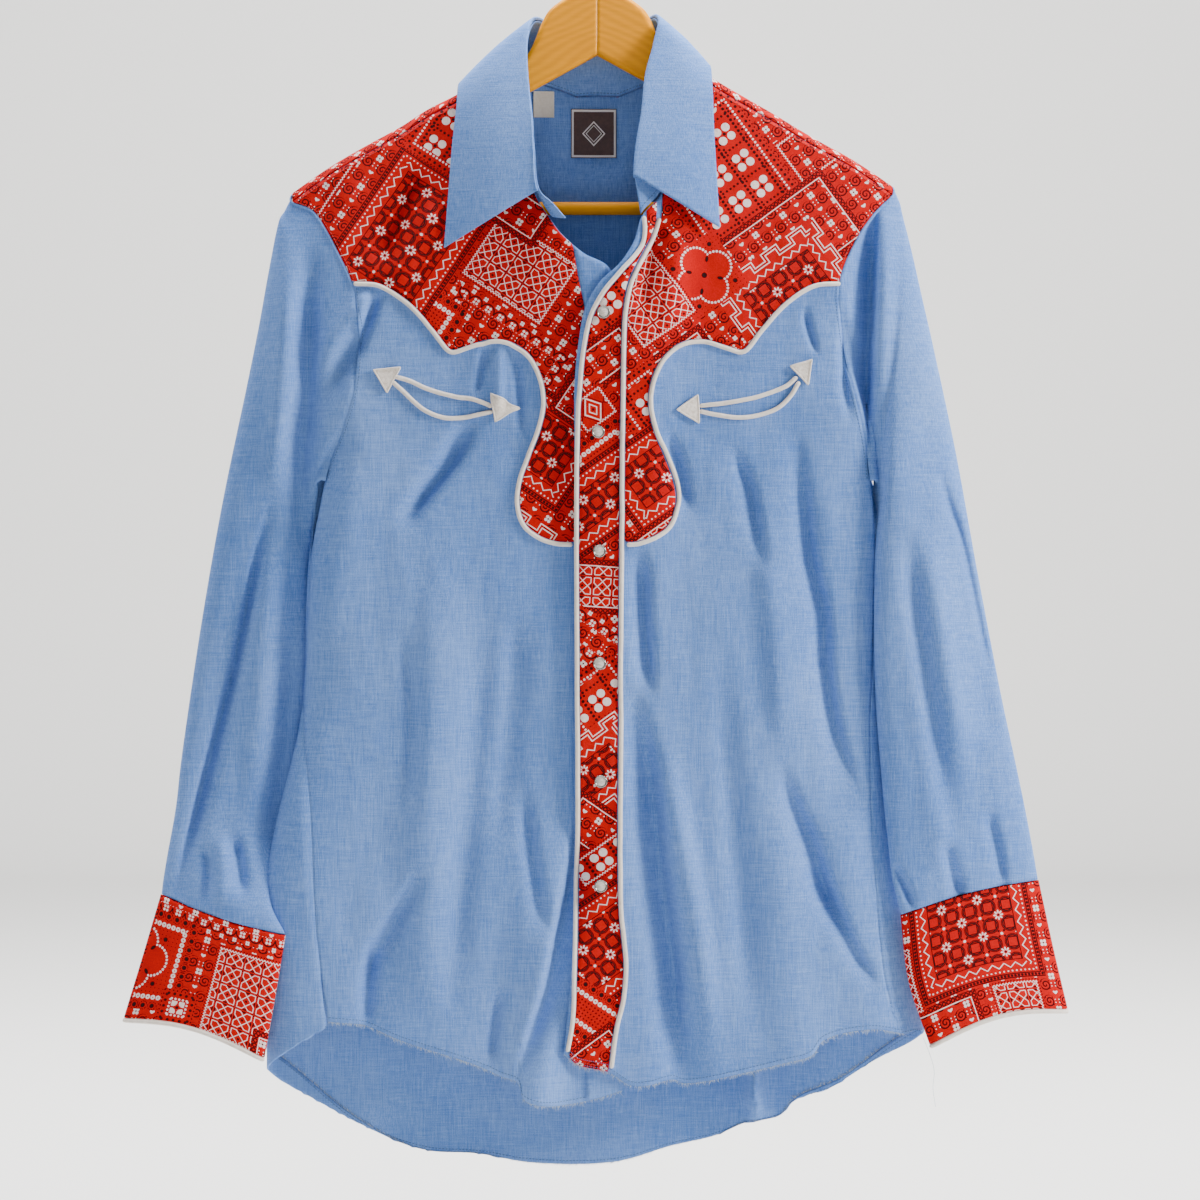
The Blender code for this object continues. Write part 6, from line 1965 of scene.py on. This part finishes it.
def collar():
    """The stand, ruled from the neck seam up to the roll, and the leaf, bulged from the roll to its edge."""
    ring, first, last = neck_ring()
    order = [0, 2, 1]
    roll = fine_path(np.array(ROLL, float)[:, order], COLLAR_STEPS)
    base = runs(ring, (first, last - 1), COLLAR_COUNTS)
    top = runs(roll, [COLLAR_STEPS * k for k in ROLL_SHOULDERS], COLLAR_COUNTS)
    share = np.linspace(1, 0, 18)[:, None, None]
    stand = base[None] + share * (top - base)[None]
    piece, area, wide, long = shell("collar_stand", stand, "chambray", STAND_WALL)

    start = COLLAR_STEPS * LEAF_FIRST
    inner = runs(roll[start:], [COLLAR_STEPS * k - start for k in ROLL_SHOULDERS], COLLAR_COUNTS)
    edge = fine_path(np.array(LEAF_EDGE, float)[:, order], COLLAR_STEPS)
    edge = runs(edge, [COLLAR_STEPS * k for k in LEAF_SHOULDERS], COLLAR_COUNTS)
    gaps = np.linalg.norm(top[None] - inner[:, None], axis=-1)
    nearest = gaps.argmin(axis=1)
    along_roll = unit(np.gradient(inner, axis=0))
    up = unit(across(smoothed(top[nearest] - base[nearest], 6), along_roll))
    out = unit(across(across(edge - inner, along_roll), up))
    coarse = [inner + up * LEAF_CLEAR, inner + up * (LEAF_CLEAR + 1.6) + out * 1.4,
              inner + up * LEAF_CLEAR + out * 3.6]
    begin = coarse[2]
    for share in np.linspace(0, 1, 5)[1:]:
        bulge = LEAF_BULGE * math.sin(math.pi * share)
        row = begin + share * (edge - begin)
        row[:, 1] += np.where(row[:, 1] < 0, -bulge, bulge) * np.minimum(np.abs(row[:, 1]) / 15, 1)
        row[:, 2] += bulge * np.maximum(0, 1 - np.abs(row[:, 1]) / 15)
        coarse.append(row)
    coarse = np.array(coarse)
    numbers = np.concatenate([np.linspace(0, 2, 9)[:-1], np.linspace(2, 6, 40)])
    leaf = read_at(coarse, numbers)
    piece, area, wide, long = shell("collar_leaf", leaf, "chambray", LEAF_WALL)
    for row, inset in enumerate(TOPSTITCH_INSETS):
        along_edge, facing = inset_row(leaf, inset)
        clear = np.linalg.norm(along_edge - leaf[-1, 0], axis=1) > inset * 1.6
        clear &= np.linalg.norm(along_edge - leaf[-1, -1], axis=1) > inset * 1.6
        sew(f"collar_leaf_{row}", along_edge[clear], facing[clear], "chambray_thread", LEAF_WALL)
        for name, grid in (("right", leaf[8:, ::-1]), ("left", leaf[8:])):
            path, facing = inset_row(grid.transpose(1, 0, 2), inset)
            keep = np.linalg.norm(path - grid[-1, -1], axis=1) > inset * 1.6
            facing = facing * (1 if name == "right" else -1)
            sew(f"collar_leaf_{name}_{row}", path[keep], facing[keep], "chambray_thread", LEAF_WALL)
    sew("collar_stand_seam", *inset_row(stand, 2.0), "chambray_thread", STAND_WALL)
    path, facing = inset_row(stand, 3.4)
    sew("collar_stand_inside", path, -facing, "chambray_thread", 0.0)
    # The roll is frayed for a short way on the wearer's left.
    worn = slice(150, 190)
    mesh = fringe_mesh("collar_roll", leaf[3, worn], leaf[3, worn] - leaf[6, worn], 0.5, 2.0, 0.09, 31)
    add_piece("collar_roll_fringe", mesh, "chambray_fray")


def labels():
    """The woven label and the care label, both bare of words."""
    for name, (x0, z0, x1, z1), slot in (
        ("neck_label", NECK_LABEL, "woven"), ("care_label", CARE_LABEL, "label"),
    ):
        x, z = np.meshgrid(np.linspace(x0, x1, 24), np.linspace(z1, z0, 24))
        points = np.stack([x, back_y(x, z) - LABEL_CLEAR, z], axis=-1)
        wide, long = (x1 - x0) * MM, (z1 - z0) * MM
        uv = np.stack([(x - x0) * MM / wide, (z - z0) * MM / long], axis=-1)
        piece = add_piece(name + "_woven", grid_mesh(name, points, uv), slot, (name,), LABEL_WALL)


# ---------------------------------------------------------------- snaps and hanger

def snap(name, place, direction):
    """A pearl cap in a rolled ring: a profile turned about Y, looking along direction."""
    profile = np.array(SNAP_PROFILE, float)
    angles = np.linspace(0, 2 * math.pi, 40, endpoint=False)
    radius = np.maximum(profile[:, 0], 0.02)[:, None]
    x = radius * np.cos(angles)[None]
    z = radius * np.sin(angles)[None]
    y = direction * profile[:, 1][:, None] + 0 * angles[None]
    points = np.stack([x, y, z], axis=-1) + np.array(place)
    points = points if direction < 0 else points[:, ::-1]
    steps = np.arange(len(profile))[:, None] + 0 * np.arange(41)[None]
    uv = np.stack([profile[:, 0][steps] * MM, np.broadcast_to(np.linspace(0, 1, 41), steps.shape)], axis=-1)
    add_piece(name + "_cap", grid_mesh(name, points, uv, closed=True), "pearl", (name,))


def snaps():
    """A cap in the place of each snap's solid: six on the placket, two on each cuff."""
    for index, (x, z) in enumerate(SNAPS, 1):
        _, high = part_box(f"snap_{index}")
        snap(f"snap_{index}", (x, high[1] / MM, z), -1)
    for side in ("right", "left"):
        for index in (1, 2):
            low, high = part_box(f"cuff_snap_{side}_{index}")
            centre = ((low[0] + high[0]) / 2 / MM, low[1] / MM, (low[2] + high[2]) / 2 / MM)
            snap(f"cuff_snap_{side}_{index}", centre, 1)


def arm_outline():
    """Round the left arm: along under the cloth's shoulder, then back along its lower edge."""
    cloth_x, cloth_z = np.array(TOP_EDGE, float).T
    shoulder = [(x, np.interp(x, cloth_x, cloth_z) - ARM_UNDER_CLOTH) for x in ARM_SHOULDER]
    upper = fine_path(list(ARM_NECK) + shoulder + list(ARM_END[:5]), 6)
    return np.vstack([upper, ARM_END[5:]]).astype(float)


def hanger():
    """Two arms with rounded edges, a bar, and a bent wire."""
    for name, side in (("hanger_arm_left", 1), ("hanger_arm_right", -1)):
        outline = orient(arm_outline() * (side, 1))
        mesh = slab_mesh(name, outline, WOOD_THICK / 2, 3.0, 2.2)
        add_piece(name + "_wood", mesh, "wood", (name,))
    bar_x = np.linspace(-BAR_HALF_LENGTH + 3, BAR_HALF_LENGTH - 3, 60)
    bar = np.column_stack([bar_x, np.zeros(60), np.full(60, BAR_Z)])
    add_piece("hanger_bar_dowel", tube_mesh("hanger_bar", bar, BAR_RADIUS, 32), "dowel", ("hanger_bar",))
    first, last, step = HOOK_ARC
    radius = HOOK_RADIUS + WIRE_RADIUS
    turns = np.radians(np.arange(first, last + 1, step))
    arc = np.column_stack([radius * np.cos(turns), -HOOK_RADIUS + radius * np.sin(turns)])
    plan = resampled(np.vstack([fine_path(HOOK_STEM, 8)[:-1], arc]), 110)
    wire = np.column_stack([plan[:, 0], np.zeros(len(plan)), plan[:, 1]])
    mesh = tube_mesh("hanger_hook", wire, WIRE_RADIUS, 20)
    add_piece("hanger_hook_wire", mesh, "steel", ("hanger_hook",))


# ---------------------------------------------------------------- stage

def stage():
    """A pale floor that curves up into a far wall, four lights and the camera."""
    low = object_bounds()[0]
    floor_z = low[2] - FLOOR_DROP
    turn = np.linspace(0, math.pi / 2, 12)
    depth = np.concatenate([np.linspace(FLOOR_FRONT, WALL_Y - COVE, 12),
                            WALL_Y - COVE + COVE * np.sin(turn[1:]), np.full(6, WALL_Y)])
    rise = np.concatenate([np.zeros(12), COVE * (1 - np.cos(turn[1:])), np.linspace(0.8, WALL_HIGH, 6)])
    xs = np.linspace(-FLOOR_HALF_WIDTH, FLOOR_HALF_WIDTH, 9)
    points = np.stack([
        np.broadcast_to(xs[None], (len(depth), 9)),
        np.broadcast_to(depth[:, None], (len(depth), 9)),
        np.broadcast_to(floor_z + rise[:, None], (len(depth), 9)),
    ], axis=-1) / MM
    mesh = grid_mesh("floor", points[::-1], cloth_uv(points))
    floor = bpy.data.objects.new("floor", mesh)
    collection("stage").objects.link(floor)
    pale, _, shader = new_material("floor")
    shader.inputs["Base Color"].default_value = (0.82, 0.81, 0.79, 1)
    shader.inputs["Roughness"].default_value = 0.9
    mesh.materials.append(pale)
    floor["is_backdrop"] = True
    world = bpy.data.worlds.new("studio")
    bpy.context.scene.world = world
    world.use_nodes = True
    background = world.node_tree.nodes["Background"]
    background.inputs["Color"].default_value = (0.9, 0.93, 1.0, 1)
    background.inputs["Strength"].default_value = 0.1
    for name, place, aim, size, power in LIGHTS:
        data = bpy.data.lights.new(name, "AREA")
        data.energy = power
        data.size = size
        light = bpy.data.objects.new(name, data)
        collection("stage").objects.link(light)
        light.location = place
        light.rotation_euler = (Vector(aim) - Vector(place)).to_track_quat("-Z", "Y").to_euler()
    data = bpy.data.cameras.new("camera")
    camera = bpy.data.objects.new("camera", data)
    collection("stage").objects.link(camera)
    data.sensor_width = SENSOR
    data.lens = SENSOR * EYE_DISTANCE / VIEW_WIDTH
    camera.location = (EYE_X, EYE_Y - EYE_DISTANCE, EYE_Z)
    camera.rotation_euler = (math.pi / 2, 0, 0)
    bpy.context.scene.camera = camera


# ---------------------------------------------------------------- add-on

class ShirtProperties(bpy.types.PropertyGroup):
    """Sizes and colours that a user may change."""

    wall: bpy.props.FloatProperty(
        name="Cloth", description="Thickness of the shirt's cloth", default=0.0008, unit="LENGTH")
    cord: bpy.props.FloatProperty(
        name="Piping", description="Radius of the piping", default=0.0017, unit="LENGTH")
    stitch: bpy.props.FloatProperty(
        name="Stitch", description="Distance from one stitch to the next", default=0.0026, unit="LENGTH")
    fray: bpy.props.FloatProperty(
        name="Fray", description="Longest loose thread at the raw hem", default=0.0065, unit="LENGTH")
    blue: bpy.props.FloatVectorProperty(
        name="Chambray", description="Main colour of the chambray", default=(0.132, 0.288, 0.68),
        subtype="COLOR")
    red: bpy.props.FloatVectorProperty(
        name="Bandana", description="Ground colour of the print", default=(0.54, 0.0, 0.001), subtype="COLOR")
    cream: bpy.props.FloatVectorProperty(
        name="Piping colour", description="Colour of cord and arrowheads", default=(0.92, 0.84, 0.76),
        subtype="COLOR")
    wood: bpy.props.FloatVectorProperty(
        name="Wood", description="Colour of the hanger", default=(1.0, 0.40, 0.001), subtype="COLOR")


class Builder:
    """What the operators share: each runs the function it names."""
    bl_options = {"REGISTER", "UNDO"}

    def execute(self, context):
        self.build()
        return {"FINISHED"}


class SHIRT_OT_panels(Builder, bpy.types.Operator):
    """Lay the two fronts and the back, with their raw hems"""
    bl_idname = "shirt.panels"
    bl_label = "Fronts and back"
    build = staticmethod(panels)


class SHIRT_OT_yokes(Builder, bpy.types.Operator):
    """Lay the front yokes and the back yoke on the panels"""
    bl_idname = "shirt.yokes"
    bl_label = "Yokes"
    build = staticmethod(yokes)


class SHIRT_OT_placket(Builder, bpy.types.Operator):
    """Lay the placket and the band under it"""
    bl_idname = "shirt.placket"
    bl_label = "Placket"
    build = staticmethod(placket)


class SHIRT_OT_trim(Builder, bpy.types.Operator):
    """Run the piping, the pocket welts and the arrowheads"""
    bl_idname = "shirt.trim"
    bl_label = "Piping and pockets"
    build = staticmethod(trim)


class SHIRT_OT_sleeves(Builder, bpy.types.Operator):
    """Hang both sleeves with their cuffs"""
    bl_idname = "shirt.sleeves"
    bl_label = "Sleeves and cuffs"
    build = staticmethod(sleeves_and_cuffs)


class SHIRT_OT_collar(Builder, bpy.types.Operator):
    """Fold the collar's stand and leaf"""
    bl_idname = "shirt.collar"
    bl_label = "Collar"
    build = staticmethod(collar)


class SHIRT_OT_labels(Builder, bpy.types.Operator):
    """Sew in the two bare labels"""
    bl_idname = "shirt.labels"
    bl_label = "Labels"
    build = staticmethod(labels)


class SHIRT_OT_snaps(Builder, bpy.types.Operator):
    """Set the pearl snaps"""
    bl_idname = "shirt.snaps"
    bl_label = "Snaps"
    build = staticmethod(snaps)


class SHIRT_OT_hanger(Builder, bpy.types.Operator):
    """Build the hanger: arms, bar and hook"""
    bl_idname = "shirt.hanger"
    bl_label = "Hanger"
    build = staticmethod(hanger)


class SHIRT_OT_stage(Builder, bpy.types.Operator):
    """Set the floor, the lights and the camera"""
    bl_idname = "shirt.stage"
    bl_label = "Stage"
    build = staticmethod(stage)


OPERATORS = (
    SHIRT_OT_panels, SHIRT_OT_yokes, SHIRT_OT_placket, SHIRT_OT_trim, SHIRT_OT_sleeves, SHIRT_OT_collar,
    SHIRT_OT_labels, SHIRT_OT_snaps, SHIRT_OT_hanger, SHIRT_OT_stage,
)


class SHIRT_PT_panel(bpy.types.Panel):
    """The shirt's sizes, colours and pieces"""
    bl_idname = "SHIRT_PT_panel"
    bl_label = "Western shirt"
    bl_space_type = "VIEW_3D"
    bl_region_type = "UI"
    bl_category = "Shirt"

    def draw(self, context):
        for name in ShirtProperties.__annotations__:
            self.layout.prop(context.scene.shirt, name)
        for operator in OPERATORS:
            self.layout.operator(operator.bl_idname)


CLASSES = (ShirtProperties, *OPERATORS, SHIRT_PT_panel)


def register():
    for cls in CLASSES:
        bpy.utils.register_class(cls)
    bpy.types.Scene.shirt = bpy.props.PointerProperty(type=ShirtProperties)


def unregister():
    del bpy.types.Scene.shirt
    for cls in reversed(CLASSES):
        bpy.utils.unregister_class(cls)


def main():
    """Registers the add-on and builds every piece."""
    register()
    for operator in OPERATORS:
        family, name = operator.bl_idname.split(".")
        getattr(getattr(bpy.ops, family), name)()


if __name__ == "__main__":
    main()
